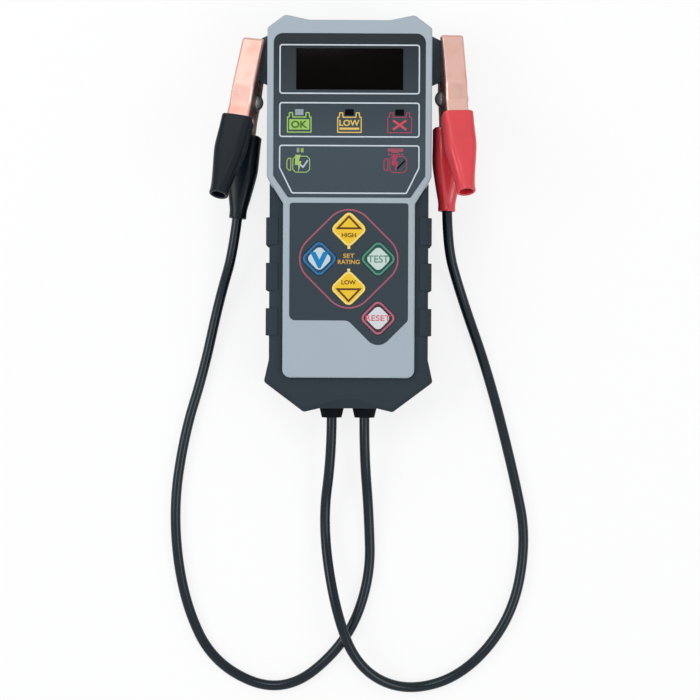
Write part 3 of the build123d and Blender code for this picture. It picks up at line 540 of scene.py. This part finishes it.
def lettering(name, words, x, y, low, thick, cap, wide, weight):
    """Flat lettering of a height and width about a point; weight is a share of its height."""
    deselect()
    bpy.ops.object.text_add(location=(0, 0, 0))
    text = bpy.context.object
    text.name = name
    text.data.body = words
    text.data.size = cap / CAP_SHARE
    text.data.offset = weight * cap
    text.data.extrude = thick / 2
    bpy.ops.object.convert(target="MESH")
    text = bpy.context.object
    ends = [[pick(v.co[i] for v in text.data.vertices) for pick in (min, max)] for i in range(2)]
    stretch, rise = (size / (end - start) for size, (start, end) in zip((wide, cap), ends))
    middle = Vector([-sum(pair) / 2 for pair in ends] + [0])
    text.matrix_world = (Matrix.Translation((x, y, low + thick / 2))
                         @ Matrix.Diagonal((stretch, rise, 1, 1)) @ Matrix.Translation(middle))
    wake(text)
    bpy.ops.object.transform_apply(location=True, rotation=True, scale=True)
    return text


# ------------------------------ camera, leads, stage
VIEW_AT = (0.84 * MM, -68.0 * MM)
SENSOR = 36.0


class TESTER_OT_view(bpy.types.Operator):
    """Camera straight above the front"""
    bl_idname = "tester.view"
    bl_label = "View"

    def execute(self, context):
        view = context.scene.tester_view
        data = bpy.data.cameras.new("view")
        data.sensor_width = SENSOR
        data.lens = SENSOR * view.distance / view.field
        data.clip_start = 0.01
        camera = added("view", data)
        camera.location = (*VIEW_AT, FILM_TOP + view.distance)
        camera.rotation_euler = (0.0, 0.0, view.tilt)
        context.scene.camera = camera
        return {"FINISHED"}


# boots and clamps, in millimetres
BOOT_LENGTH = 42.7
BOOT_COLUMNS = 32
CROWN = (-3.0, 14.0)  # where the handle begins, from the pivot
HANDLE_ANGLE = math.radians(20.0)
HANDLE_MIDDLE = 3.5  # under its top
JAW_TILT = math.radians(10.0)  # of each parked half
# distance of each boot's mouth down the handle, and its turn on it in degrees
BOOTS = {
    "black": {"upper": (7.8, -2.0), "lower": (8.6, 2.0)},
    "red": {"upper": (6.5, 2.0), "lower": (6.2, -2.0)},
}
# outside width of the far end, its hole, and width of the mouth's slot
BOOT_FITS = {"upper": (9.5, 6.6, 11.7), "lower": (8.8, 5.32, 9.5)}
# share of the length, width, height and squareness of the outer skin as far as the taper
SKIN = (
    (0.0, 14.9, 11.7, 5.4), (0.006, 15.5, 12.3, 5.4), (0.02, 15.7, 12.5, 5.2),
    (0.07, 15.55, 12.35, 5.0), (0.2, 15.5, 12.45, 4.2), (0.33, 15.6, 12.8, 4.0),
    (0.43, 15.45, 12.85, 3.8), (0.53, 14.3, 12.2, 3.4), (0.65, 12.6, 11.3, 3.0),
    (0.77, 11.0, 10.4, 2.6),
)
# share of the length, growth over the far end's width and squareness of its collar
COLLAR = (
    (0.87, 0.3, 2.3), (0.935, -0.1, 2.1), (0.965, 0.1, 2.0), (0.985, 0.15, 2.0),
    (0.997, 0.05, 2.0), (1.0, -0.5, 2.0),
)
# share of the length and growth over the hole's width, from the rim inward
HOLE = ((1.0, 0.9), (0.999, 0.2), (0.99, 0.0), (0.98, 0.0), (0.9, 0.0), (0.81, 0.0))
# the cavity as the skin, with the drop of its middle
CAVITY = (
    (0.76, 8.4, 8.0, 2.6, 0.0), (0.42, 13.2, 10.6, 3.8, 0.0), (0.08, 13.3, 10.1, 4.4, 0.0),
    (0.06, 13.0, 9.8, 5.0, 0.2),
)
# height, squareness and drop of the mouth's slot; its sections as the hole's
SLOT = (9.0, 8.0, 0.8)
MOUTH = ((0.052, 0.3), (0.04, 0.0), (0.012, 0.0), (0.001, 0.5))


def boot_rows(end, hole, slot):
    """Sections of a boot: out along its outside, round the far rim and back inside."""
    tall, square, drop = SLOT
    return [
        *((*row, 0.0) for row in SKIN),
        *((share, end + more, end + more, corner, 0.0) for share, more, corner in COLLAR),
        *((share, hole + more, hole + more, 2.0, 0.0) for share, more in HOLE),
        *CAVITY,
        *((share, slot + more, tall + more, square, drop) for share, more in MOUTH),
    ]


def clamp_frame(side):
    """A clamp's own frame: origin at its pivot, X along its pin, Y to the tips of its jaws."""
    joint = next(joint for joint in frame["joints"] if joint["name"] == f"open_clamp_{side}")
    mount = next(mount for mount in frame["record"]["mounts"] if mount["name"] == f"jaw_{side}")
    pin, ahead = Vector(joint["axis"]), Vector(mount["axis"])
    turn = Matrix((pin, ahead, pin.cross(ahead))).transposed().to_4x4()
    return Matrix.Translation(joint["pos_m"]) @ turn @ Matrix.Scale(MM, 4)


def boot_frame(side, half):
    """A boot's own frame: origin at the middle of its mouth, Z to its far end."""
    at, skew = BOOTS[side][half]
    level, rise = math.cos(HANDLE_ANGLE), math.sin(HANDLE_ANGLE)
    origin = (0.0, CROWN[0] - at * level - HANDLE_MIDDLE * rise,
              CROWN[1] + at * rise - HANDLE_MIDDLE * level)
    axes = Matrix(((1, 0, 0), (0, rise, level), (0, -level, rise))).transposed().to_4x4()
    sign = 1 if half == "upper" else -1
    flip = Matrix.Diagonal((1, 1, sign, 1))
    return (clamp_frame(side) @ Matrix.Rotation(sign * JAW_TILT, 4, "X") @ flip
            @ Matrix.Translation(origin) @ axes @ Matrix.Rotation(math.radians(skew), 4, "Y"))


def boot(side, half, material):
    """One soft boot in place of the stiff one, a closed skin on its half of the clamp."""
    rows = boot_rows(*BOOT_FITS[half])
    place = boot_frame(side, half)
    deselect()
    bpy.ops.mesh.primitive_torus_add(major_segments=BOOT_COLUMNS, minor_segments=len(rows))
    piece = bpy.context.object
    piece.name = f"{side}_{half}_boot"
    for i, vertex in enumerate(piece.data.vertices):
        share, wide, high, square, drop = rows[i % len(rows)]
        turn = math.tau * (i // len(rows)) / BOOT_COLUMNS
        x, y = (math.copysign(abs(part) ** (2 / square), part)
                for part in (math.cos(turn), math.sin(turn)))
        vertex.co = place @ Vector((x * wide / 2, y * high / 2 - drop, share * BOOT_LENGTH))
    bpy.ops.object.modifier_add(type="SUBSURF")
    piece.modifiers[0].levels = piece.modifiers[0].render_levels = 2
    bpy.ops.object.modifier_apply(modifier=piece.modifiers[0].name)
    bpy.ops.object.mode_set(mode="EDIT")
    bpy.ops.mesh.select_all(action="SELECT")
    bpy.ops.mesh.normals_make_consistent(inside=False)
    bpy.ops.object.mode_set(mode="OBJECT")
    bpy.ops.object.shade_smooth()
    dress(piece, material, f"upper_clamp_{side}" if half == "upper" else BODY)
    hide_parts(f"{half}_boot_{side}")
    return piece


def sprung(side, material):
    """The clamp's spring, a copy of the stiff one with its own finish, in its place."""
    name = f"spring_{side}"
    piece = added(f"{side}_spring", frame["nodes"][name].data.copy())
    piece.data.materials.clear()
    piece.data.materials.append(material)
    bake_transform(piece)
    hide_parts(name)
    return piece


CABLE = 5.2 * MM
# control points of each lead in millimetres, from the tester's outlet to its clamp
ROUTES = {
    "black": [
        (8.4, -102.6, 14.0), (8.4, -121.0, 14.0), (11.0, -152.0, 4.0), (12.2, -187.0, 2.7),
        (-0.7, -221.2, 2.75), (-32.6, -247.2, 2.7), (-68.7, -232.3, 2.72), (-85.1, -198.5, 2.7),
        (-90.8, -153.6, 2.72), (-85.1, -112.3, 2.7), (-75.1, -79.7, 2.75), (-67.0, -42.0, 5.0),
        (-58.57, -15.78, 14.68), (-55.92, 13.08, 13.78),
    ],
    "red": [
        (-8.4, -102.6, 14.0), (-8.4, -122.0, 14.0), (-13.0, -158.0, 4.6), (-6.4, -201.5, 13.2),
        (5.6, -231.6, 13.4), (30.2, -245.4, 3.6), (61.0, -236.8, 2.7), (85.8, -206.6, 2.72),
        (93.1, -166.8, 2.7), (86.6, -133.5, 2.72), (73.0, -80.5, 2.75), (57.6, -38.0, 5.0),
        (49.71, -11.70, 14.58), (50.36, 17.28, 13.69),
    ],
}
ON_LEAD = ("lower_jaw", "upper_jaw", "rivet", "crimp")


class TESTER_OT_leads(bpy.types.Operator):
    """The two free leads, each one smooth line, with the boots and springs of their clamps"""
    bl_idname = "tester.leads"
    bl_label = "Leads"

    def execute(self, context):
        case = context.scene.tester_case
        sheath = cable_sheath("cable_sheath", case.sheath)
        zinc = zinc_plate("zinc_steel", (0.60, 0.60, 0.61))
        sleeves = {"red": dipped_vinyl("red_vinyl", case.red_vinyl),
                   "black": dipped_vinyl("black_vinyl", case.black_vinyl, 0.19, 0.2)}
        for side, route in ROUTES.items():
            data = bpy.data.curves.new(f"{side}_lead", "CURVE")
            data.dimensions = "3D"
            line = data.splines.new("NURBS")
            line.points.add(len(route) - 1)
            for point, place in zip(line.points, route):
                point.co = (*[axis * MM for axis in place], 1.0)
            line.order_u = 3
            line.use_endpoint_u = True
            line.resolution_u = 16
            data.bevel_depth = CABLE / 2
            data.bevel_resolution = 8
            data.use_fill_caps = True
            lead = added(f"{side}_lead", data)
            dress(lead, sheath, BODY)
            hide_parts(f"lead_{side}")
            pieces = [frame["nodes"][f"{bit}_{side}"] for bit in ON_LEAD]
            pieces += [boot(side, half, sleeves[side]) for half in BOOT_FITS]
            pieces.append(sprung(side, zinc))
        return {"FINISHED"}


FLOOR_SIZE = 12.0
FLOOR_GLOW = 0.80  # share of even white in the floor that the camera sees
LAMP_AIM = (0.0, -0.07, 0.0)
# place, width and share of the power of each soft lamp
LAMPS = (
    ((-0.05, 0.50, 1.25), 0.44, 0.30),
    ((-0.40, 1.05, 0.85), 0.60, 0.08),
    ((-0.95, 0.10, 0.95), 0.80, 0.60),
    ((0.95, -0.45, 1.10), 0.80, 0.50),
)
SKY_TINT = (0.97, 0.985, 1.0)
# reflected sky: heights of a direction between which it dims overhead, the headward slants
# between which that sets in, and the share lost; then heights and loss towards the horizon
OVERHEAD = (0.78, 0.97)
HEADWARD = (0.03, 0.15)
OVERHEAD_LOSS = 0.7
HORIZON = (0.45, 0.0)
HORIZON_LOSS = 0.55


class TESTER_OT_stage(bpy.types.Operator):
    """Pale floor, soft lamps and an even white sky"""
    bl_idname = "tester.stage"
    bl_label = "Stage"

    def execute(self, context):
        view = context.scene.tester_view
        deselect()
        bpy.ops.mesh.primitive_plane_add(size=FLOOR_SIZE, location=(0, 0, 0))
        floor = bpy.context.object
        floor.name = "floor"
        finish = Finish("pale_floor")
        finish.shade(Base_Color=(0.92, 0.92, 0.92), Roughness=0.9)
        lit = Value(finish, finish.shader.outputs[0])
        glow = finish.node("ShaderNodeEmission", {}, {"Color": (1.0, 1.0, 1.0), "Strength": 1.0})
        seen = finish.node("ShaderNodeLightPath", output="Is Camera Ray")
        mixed = finish.node("ShaderNodeMixShader", {}, {0: seen * FLOOR_GLOW, 1: lit, 2: glow})
        finish.tree.links.new(mixed.socket, finish.tree.nodes["Material Output"].inputs[0])
        floor.data.materials.append(finish.material)
        for i, (place, size, share) in enumerate(LAMPS):
            data = bpy.data.lights.new(f"softbox_{i}", "AREA")
            data.shape = "DISK"
            data.size = size
            data.energy = view.lamp_power * share
            lamp = added(f"softbox_{i}", data)
            lamp.location = place
            aim = Vector(LAMP_AIM) - lamp.location
            lamp.rotation_euler = aim.to_track_quat("-Z", "Y").to_euler()
        self.sky(context, view)
        context.scene.view_settings.view_transform = "Standard"
        return {"FINISHED"}

    def sky(self, context, view):
        """Even light from all round, darker overhead in reflections and white to the eye."""
        world = bpy.data.worlds.new("sky")
        context.scene.world = world
        world.use_nodes = True
        sky = Graph(world.node_tree)
        even = sky.tree.nodes["Background"]
        sky.feed(even.inputs["Color"], SKY_TINT)
        sky.feed(even.inputs["Strength"], view.sky)
        height, slant = (sky.axis(letter, "Generated") for letter in "ZY")
        overhead = height.ramp(*OVERHEAD) * slant.ramp(*HEADWARD)
        loss = overhead * OVERHEAD_LOSS + height.ramp(*HORIZON) * HORIZON_LOSS
        shader = Value(sky, even.outputs[0])
        rays = {"Is Glossy Ray": (1.0 - loss) * view.shine, "Is Camera Ray": 1.0}
        for ray, strength in rays.items():
            share = sky.node("ShaderNodeLightPath", output=ray)
            inputs = {"Color": (1.0, 1.0, 1.0), "Strength": strength}
            seen = sky.node("ShaderNodeBackground", {}, inputs)
            shader = sky.node("ShaderNodeMixShader", {}, {0: share, 1: shader, 2: seen})
        sky.tree.links.new(shader.socket, sky.tree.nodes["World Output"].inputs[0])


# ------------------------------ pieces of the frame
LAMP_GAP = 0.35 * MM


class TESTER_OT_finishes(bpy.types.Operator):
    """Finishes of the housing, the films, the lamps, the inner pieces and the clamps"""
    bl_idname = "tester.finishes"
    bl_label = "Finishes"

    def execute(self, context):
        case = context.scene.tester_case
        split = centre("lamp_charge_good").x
        finishes = (
            (moulded_plastic("shell_plastic", case.shell, 0.44, 0.2, 0.03), "front_cover"),
            (moulded_plastic("tub_plastic", case.tub, 0.5, 0.3), "rear_cover",
             "parking_lug_black", "parking_lug_red"),
            (soft_rubber("grip_rubber", case.grip), "grip_sleeve"),
            (soft_rubber("relief_rubber", lighter(case.grip, 0.2), 0.62, 0.08),
             "strain_relief_black", "strain_relief_red"),
            # the display film carries a painted sheen, lighter at its foot and darker at its head
            (printed_film("painted_sheen_film", case.film, SHEEN_SHARES), "display_film"),
            (printed_film("slate_film", case.film), "keypad_film"),
            (smoked_lens("smoked_lens"), "display_window"),
            (lamp_lens("clear_lamp", (0.27, 0.34, 0.37)), "lamp_battery_good"),
            (lamp_lens("dark_lamp", (0.002, 0.002, 0.003), 0.03), "lamp_battery_low",
             "lamp_battery_bad"),
            (split_lamp("split_lamp", split, LAMP_GAP), "lamp_charge_good"),
            (lamp_lens("warm_lamp", (0.38, 0.075, 0.105)), "lamp_charge_bad"),
            (circuit_board("solder_mask"), "main_board"),
            (moulded_plastic("black_part", (0.012, 0.012, 0.013), 0.42, 0.1), "switch_bases",
             "controller_chip", "lead_terminals", "display_module",
             *(f"plunger_{name}" for name in KEY_BODIES)),
            (moulded_plastic("ceramic", (0.70, 0.68, 0.62), 0.6, 0.2), "load_resistor"),
            (moulded_plastic("can_sleeve", (0.02, 0.03, 0.11), 0.3, 0.05), "filter_capacitor"),
            (bpy.data.materials["cable_sheath"], "inner_lead_black", "inner_lead_red"),
            (bpy.data.materials["zinc_steel"], "case_screws", "board_screws", "rivet_black",
             "rivet_red"),
            (copper_plate("copper_plate", case.copper),
             *(f"{bit}_{side}" for bit in ("upper_jaw", "lower_jaw", "crimp") for side in SIDES)),
        )
        for material, *names in finishes:
            for name in names:
                finish_node(name, material)
        return {"FINISHED"}


# ------------------------------ display
DIGITS = 4
DIGIT_PITCH = 12.7 * MM
DIGIT_TALL = 14.2 * MM
DIGIT_WIDE = 7.4 * MM
SEGMENT = 1.3 * MM
SEGMENT_GAP = 0.35 * MM
SEGMENT_THICK = 0.05 * MM


def segment_points(x, y, long, upright):
    """A seven-segment bar: a stroke with pointed ends."""
    half, rise = long / 2, SEGMENT / 2
    bar = [(-half, 0), (-half + rise, -rise), (half - rise, -rise),
           (half, 0), (half - rise, rise), (-half + rise, rise)]
    if upright:
        bar = [(-py, px) for px, py in bar]
    return moved(bar, x, y)


class TESTER_OT_digits(bpy.types.Operator):
    """Unlit seven-segment digits on the face of the display module"""
    bl_idname = "tester.digits"
    bl_label = "Digits"

    def execute(self, context):
        middle = centre("display_module")
        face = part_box("display_module")[1][2]
        across = DIGIT_WIDE - SEGMENT
        up = (DIGIT_TALL - SEGMENT) / 2
        bars = [(0, 0, across, False), (0, up, across, False), (0, -up, across, False)]
        bars += [(dx * across / 2, dy * up / 2, up, True) for dx in (-1, 1) for dy in (-1, 1)]
        pieces = []
        for i in range(DIGITS):
            x = middle.x + (i - (DIGITS - 1) / 2) * DIGIT_PITCH
            for j, (dx, dy, long, upright) in enumerate(bars):
                points = segment_points(x + dx, middle.y + dy, long - 2 * SEGMENT_GAP, upright)
                pieces.append(flat(f"segment_{i}_{j}", points, face, SEGMENT_THICK))
            dot = box_points(x + DIGIT_WIDE / 2 + SEGMENT, middle.y - up, SEGMENT, SEGMENT)
            pieces.append(flat(f"point_{i}", dot, face, SEGMENT_THICK, SEGMENT * 0.3))
        unlit = ink("unlit_segment", (0.36, 0.040, 0.035), 0.35)
        printed("unlit_digits", pieces, unlit)
        return {"FINISHED"}


# ------------------------------ prints on the display film
FRAME_WIDE = 70.3 * MM
FRAME_ROUND = 1.5 * MM
# foot and top of each frame, with the knee of the lowest between them
WINDOW_FRAME = (59.95 * MM, 84.85 * MM)
BATTERY_FRAME = (38.3 * MM, 55.85 * MM)
CHARGE_FRAME = (10.1 * MM, 23.05 * MM, 34.5 * MM)
CHARGE_FOOT = 28.8 * MM
BATTERY_X = 25.1 * MM
BATTERY_Y = 44.6 * MM
BATTERY_SIZE = (12.3 * MM, 8.1 * MM)
POST_X = 4.15 * MM
POST_SIZE = (2.4 * MM, 2.2 * MM)
POST_TAPER = 0.8
# height, width and weight of a word; width and height of a fill or bar; rise over the middle
GOOD_WORD = (3.7 * MM, 8.2 * MM, 0.045)
GOOD_FILL = (10.0 * MM, 5.2 * MM)
GOOD_RISE = 0.1 * MM
LOW_WORD = (3.1 * MM, 10.1 * MM, 0.035)
LOW_WORD_RISE = 0.95 * MM
LOW_BAR = (9.9 * MM, 1.1 * MM)
LOW_BAR_RISE = -1.95 * MM
CROSS_REACH = (3.3 * MM, 2.3 * MM)
CROSS_LINE = 1.1 * MM
SIGN_ROUND = 0.3 * MM
FILL_ROUND = 0.2 * MM
BAD_LINE = 0.8  # width of the bad sign's line as a share of the others'
OVERLAP = 0.4  # rise of a print that crosses another, in ink heights


def battery_points(x, y):
    """Outline of a battery with two posts, from its middle."""
    half, tall = BATTERY_SIZE[0] / 2, BATTERY_SIZE[1] / 2
    foot, top = POST_SIZE[0] / 2, POST_SIZE[0] / 2 * POST_TAPER
    crest = tall + POST_SIZE[1]
    right = [(half, -tall), (half, tall), (POST_X + foot, tall), (POST_X + top, crest),
             (POST_X - top, crest), (POST_X - foot, tall)]
    left = [(-px, py) for px, py in reversed(right)]
    return moved(right + left, x, y)


class TESTER_OT_frames(bpy.types.Operator):
    """White frame lines round the window and the two rows of lamps"""
    bl_idname = "tester.frames"
    bl_label = "Frame lines"

    def execute(self, context):
        inks = context.scene.tester_print
        half = FRAME_WIDE / 2
        bottom, knee, top = CHARGE_FRAME
        charge = [(-CHARGE_FOOT, bottom), (CHARGE_FOOT, bottom), (half, knee), (half, top),
                  (-half, top), (-half, knee)]
        outlines = [box_points(0, sum(rows) / 2, FRAME_WIDE, rows[1] - rows[0])
                    for rows in (WINDOW_FRAME, BATTERY_FRAME)]
        outlines.append(charge)
        lines = [flat(f"frame_line_{i}", points, FILM_TOP, inks.ink, FRAME_ROUND, inks.frame_line)
                 for i, points in enumerate(outlines)]
        printed("frame_lines", lines, ink("white_ink", inks.white))
        return {"FINISHED"}


class TESTER_OT_battery_signs(bpy.types.Operator):
    """Three battery signs: good, low and bad"""
    bl_idname = "tester.battery_signs"
    bl_label = "Battery signs"

    def execute(self, context):
        inks = context.scene.tester_print
        thick, wide, y = inks.ink, inks.icon_line, BATTERY_Y

        def battery(x, line):
            return flat("battery", battery_points(x, y), FILM_TOP, thick, SIGN_ROUND, line)

        good = battery(-BATTERY_X, wide)
        fill = box_points(-BATTERY_X, y + GOOD_RISE, *GOOD_FILL)
        fill = flat("good_fill", fill, FILM_TOP, thick, FILL_ROUND)
        printed("good_sign", [good, fill], ink("green_ink", inks.green))
        word = lettering("good_word", "OK", -BATTERY_X, y + GOOD_RISE, FILM_TOP + thick, thick,
                         *GOOD_WORD)
        printed("good_word", [word], ink("dark_green_ink", (0.060, 0.130, 0.016)))
        low = battery(0, wide)
        bar = flat("low_bar", box_points(0, y + LOW_BAR_RISE, *LOW_BAR), FILM_TOP, thick)
        word = lettering("low_word", "LOW", 0, y + LOW_WORD_RISE, FILM_TOP, thick, *LOW_WORD)
        printed("low_sign", [low, bar, word], ink("yellow_ink", inks.yellow))
        bad = battery(BATTERY_X, wide * BAD_LINE)
        printed("bad_sign", [bad], ink("crimson_ink", inks.crimson))
        arms = []
        for i, slope in enumerate((-1, 1)):
            reach = Vector((CROSS_REACH[0], slope * CROSS_REACH[1]))
            middle = Vector((BATTERY_X, y))
            arm = stroke(middle - reach, middle + reach, CROSS_LINE)
            arms.append(flat("arm", arm, FILM_TOP + i * thick * OVERLAP, thick))
        printed("bad_cross", arms, ink("red_ink", inks.red))
        return {"FINISHED"}


CHARGE_X = {"good": -25.4 * MM, "bad": 23.1 * MM}
CHARGE_Y = 24.8 * MM
CHARGE_LINE = 0.42 * MM
# outlines and strokes of a charging sign in millimetres about its middle
PULLEY = ((-6.0, -1.9), (-5.0, -3.2), (-3.6, -3.2), (-3.6, 3.2), (-5.0, 3.2), (-6.0, 1.9))
CASING = ((-3.0, -2.7), (-1.5, -4.2), (4.2, -4.2), (5.8, -2.7), (5.8, 2.7), (4.2, 4.2),
          (-1.5, 4.2), (-3.0, 2.7))
BOLT = ((-1.6, 4.7), (1.1, 4.7), (0.2, 1.5), (1.5, 1.5), (-0.1, -4.4), (-0.1, -0.4), (-1.8, -0.4))
TICK = (((0.9, -0.2), (2.5, -1.7)), ((2.1, -1.8), (4.7, 2.0)))
SLASH = (((0.9, -2.0), (4.7, 2.0)),)
MARK_LINE = 0.85 * MM
# band about the bad sign's lamp and dashes under it: width and height, rise over the lamp
BAND = (7.8 * MM, 1.7 * MM)
BAND_RISE = 0.2 * MM
DASHES = 6
DASH = (0.85 * MM, 0.8 * MM)
DASH_PITCH = 1.35 * MM
DASH_RISE = -1.95 * MM


class TESTER_OT_charge_signs(bpy.types.Operator):
    """Two generator signs, one with a tick and one with a bar"""
    bl_idname = "tester.charge_signs"
    bl_label = "Charging signs"

    def execute(self, context):
        inks = context.scene.tester_print
        black = ink("black_ink", (0.003, 0.003, 0.004), 0.42, 0.05)
        grey = ink("grey_ink", (0.42, 0.49, 0.56))
        looks = {"good": (ink("lime_ink", (0.34, 0.52, 0.15)), grey, TICK),
                 "bad": (bpy.data.materials["crimson_ink"], black, SLASH)}
        for name, (line_ink, mark_ink, mark) in looks.items():
            x = CHARGE_X[name]
            shapes = [moved(shape, x, CHARGE_Y, MM) for shape in (PULLEY, CASING, BOLT)]
            sign = [flat("line", shape, FILM_TOP, inks.ink, SIGN_ROUND, CHARGE_LINE)
                    for shape in shapes[:2]]
            sign.append(flat("bolt", shapes[2], FILM_TOP + inks.ink * OVERLAP, inks.ink))
            printed(f"{name}_charge_sign", sign, line_ink)
            bars = []
            for i, ends in enumerate(mark):
                bar = stroke(*moved(ends, x, CHARGE_Y, MM), MARK_LINE)
                low = FILM_TOP + inks.ink * OVERLAP * (2 + i / 2)
                bars.append(flat("bar", bar, low, inks.ink))
            printed(f"{name}_charge_mark", bars, mark_ink)
        self.warning(inks)
        return {"FINISHED"}

    def warning(self, inks):
        """Red band about the lamp of the bad sign, with a row of dashes under it."""
        lamp = centre("lamp_charge_bad")
        band = box_points(lamp.x, lamp.y + BAND_RISE, *BAND)
        marks = [flat("band", band, FILM_TOP, inks.ink, FILL_ROUND)]
        for i in range(DASHES):
            x = lamp.x + (i - (DASHES - 1) / 2) * DASH_PITCH
            dash = box_points(x, lamp.y + DASH_RISE, *DASH)
            marks.append(flat("dash", dash, FILM_TOP, inks.ink))
        printed("warning_band", marks, ink("rose_ink", inks.rose))


# ------------------------------ keypad
RING_SIDE = 42.8 * MM
RING_ROUND = 12.9 * MM
STEM = (1.4 * MM, 1.9 * MM)
STEM_SINK = 1.5 * MM  # under the key's corner
KEY_WORD_DROP = 2.95 * MM
KEY_WORD = (2.2 * MM, 7.2 * MM, 0.035)
# rise, height, width and weight of the words between the keys
MIDDLE_WORDS = {"SET": (1.5 * MM, 2.2 * MM, 5.7 * MM, 0.03),
                "RATING": (-1.55 * MM, 2.2 * MM, 11.0 * MM, 0.03)}
# side and corner of the fields on the keys
KEY_FIELD = (11.5 * MM, 2.2 * MM)
PAD_BAND = (11.4 * MM, 2.3 * MM)
PAD_PALE = (9.3 * MM, 2.5 * MM)
ARROW = ((-6.7, 0.0), (6.7, 0.0), (0.0, 7.1))
ARROW_LINE = 0.95 * MM
ARROW_ROUND = 0.12 * MM
# name: word, its height and width in mm, weight, drop in mm; inks of the word, rim, band and pale
PADS = {
    "volts": (("V", 8.2, 9.4, 0.085, 0.7), (0.004, 0.20, 0.46), (0.030, 0.155, 0.34),
              (0.007, 0.055, 0.13), (0.53, 0.63, 0.70)),
    "test": (("TEST", 3.7, 10.6, 0.02, 0.1), (0.11, 0.25, 0.19), (0.075, 0.25, 0.175),
             (0.010, 0.065, 0.050), (0.54, 0.64, 0.60)),
    "reset": (("RESET", 2.9, 12.4, 0.02, 0.0), (0.60, 0.11, 0.15), (0.40, 0.125, 0.17),
              (0.050, 0.020, 0.030), (0.62, 0.65, 0.68)),
}


class TESTER_OT_keypad(bpy.types.Operator):
    """Ring, stems and lettering printed on the keypad film"""
    bl_idname = "tester.keypad"
    bl_label = "Keypad prints"

    def execute(self, context):
        inks = context.scene.tester_print
        thick = inks.ink
        high, lower = centre("key_high"), centre("key_low")
        middle = (high.y + lower.y) / 2
        ring = flat("key_ring", diamond_points(0, middle, RING_SIDE), FILM_TOP, thick, RING_ROUND,
                    inks.ring_line, 24)
        dress(ring, ink("ring_ink", inks.ring), BODY)
        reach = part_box("key_high")[1][1] - high.y - STEM_SINK + STEM[1] / 2
        stems = [flat("stem", box_points(0, key.y - sign * reach, *STEM), FILM_TOP, thick)
                 for key, sign in ((high, 1), (lower, -1))]
        printed("stems", stems, ink("key_border", (0.86, 0.66, 0.20)))
        words = [lettering(f"{word}_word", word, 0, middle + rise, FILM_TOP, thick, *size)
                 for word, (rise, *size) in MIDDLE_WORDS.items()]
        printed("set_rating", words, ink("gold_ink", inks.gold))
        return {"FINISHED"}


class TESTER_OT_keys(bpy.types.Operator):
    """Finishes and prints of the five keys"""
    bl_idname = "tester.keys"
    bl_label = "Keys"

    def execute(self, context):
        thick = context.scene.tester_print.ink
        face = ink("key_face", (0.80, 0.52, 0.028))
        brown = ink("key_brown", (0.10, 0.035, 0.010))
        for name, sign in (("high", 1), ("low", -1)):
            self.arrow_key(name, sign, face, brown, thick)
        for name in PADS:
            self.pad(name, thick)
        return {"FINISHED"}

    def pad(self, name, thick):
        """Coloured rim, dark band inside it, pale diamond in the middle and the word."""
        (text, cap, wide, weight, drop), *tones = PADS[name]
        word_ink, rim, band, pale = (
            ink(f"{name}_{part}", tone)
            for part, tone in zip(("word", "rim", "band", "pale"), tones))
        middle = centre(f"key_{name}")
        finish_node(f"key_{name}", rim)
        layers = [(PAD_BAND, band, KEY_TOP), (PAD_PALE, pale, KEY_TOP + thick)]
        for i, ((side, corner), tone, low) in enumerate(layers):
            points = diamond_points(middle.x, middle.y, side)
            layer = flat(f"{name}_layer_{i}", points, low, thick, corner)
            dress(layer, tone, KEY_BODIES[name])
        word = lettering(f"{name}_word", text, middle.x, middle.y - drop * MM,
                         KEY_TOP + 2 * thick, thick, cap * MM, wide * MM, weight)
        dress(word, word_ink, KEY_BODIES[name])

    def arrow_key(self, name, sign, face, brown, thick):
        """Yellow key: paler rim, framed triangle and its word."""
        middle = centre(f"key_{name}")
        body = KEY_BODIES[name]
        finish_node(f"key_{name}", bpy.data.materials["key_border"])
        side, corner = KEY_FIELD
        points = diamond_points(middle.x, middle.y, side)
        field = flat(f"{name}_face", points, KEY_TOP, thick, corner)
        dress(field, face, body)
        outline = moved(ARROW, middle.x, middle.y, MM, sign)
        arrow = flat(f"{name}_arrow", outline, KEY_TOP + thick, thick, ARROW_ROUND, ARROW_LINE, 3)
        dress(arrow, brown, body)
        word = lettering(f"{name}_word", name.upper(), middle.x, middle.y - sign * KEY_WORD_DROP,
                         KEY_TOP + thick, thick, *KEY_WORD)
        dress(word, brown, body)


# ------------------------------ panel and registration
class TESTER_PT_panel(bpy.types.Panel):
    """Lists the tester's steps"""
    bl_label = "Battery tester"
    bl_idname = "TESTER_PT_panel"
    bl_space_type = "VIEW_3D"
    bl_region_type = "UI"
    bl_category = "Tester"

    def draw(self, context):
        for step in STEPS:
            self.layout.operator(step.bl_idname)


STEPS = (
    TESTER_OT_view, TESTER_OT_leads, TESTER_OT_stage, TESTER_OT_finishes, TESTER_OT_digits,
    TESTER_OT_frames, TESTER_OT_battery_signs, TESTER_OT_charge_signs, TESTER_OT_keypad,
    TESTER_OT_keys,
)
GROUPS = {"tester_print": TesterPrint, "tester_case": TesterCase, "tester_view": TesterView}


def register():
    for name, group in GROUPS.items():
        bpy.utils.register_class(group)
        setattr(bpy.types.Scene, name, PointerProperty(type=group))
    for step in (*STEPS, TESTER_PT_panel):
        bpy.utils.register_class(step)


def unregister():
    for step in (TESTER_PT_panel, *reversed(STEPS)):
        bpy.utils.unregister_class(step)
    for name, group in GROUPS.items():
        delattr(bpy.types.Scene, name)
        bpy.utils.unregister_class(group)


def main():
    register()
    for step in STEPS:
        category, name = step.bl_idname.split(".")
        getattr(getattr(bpy.ops, category), name)()


if __name__ == "__main__":
    main()
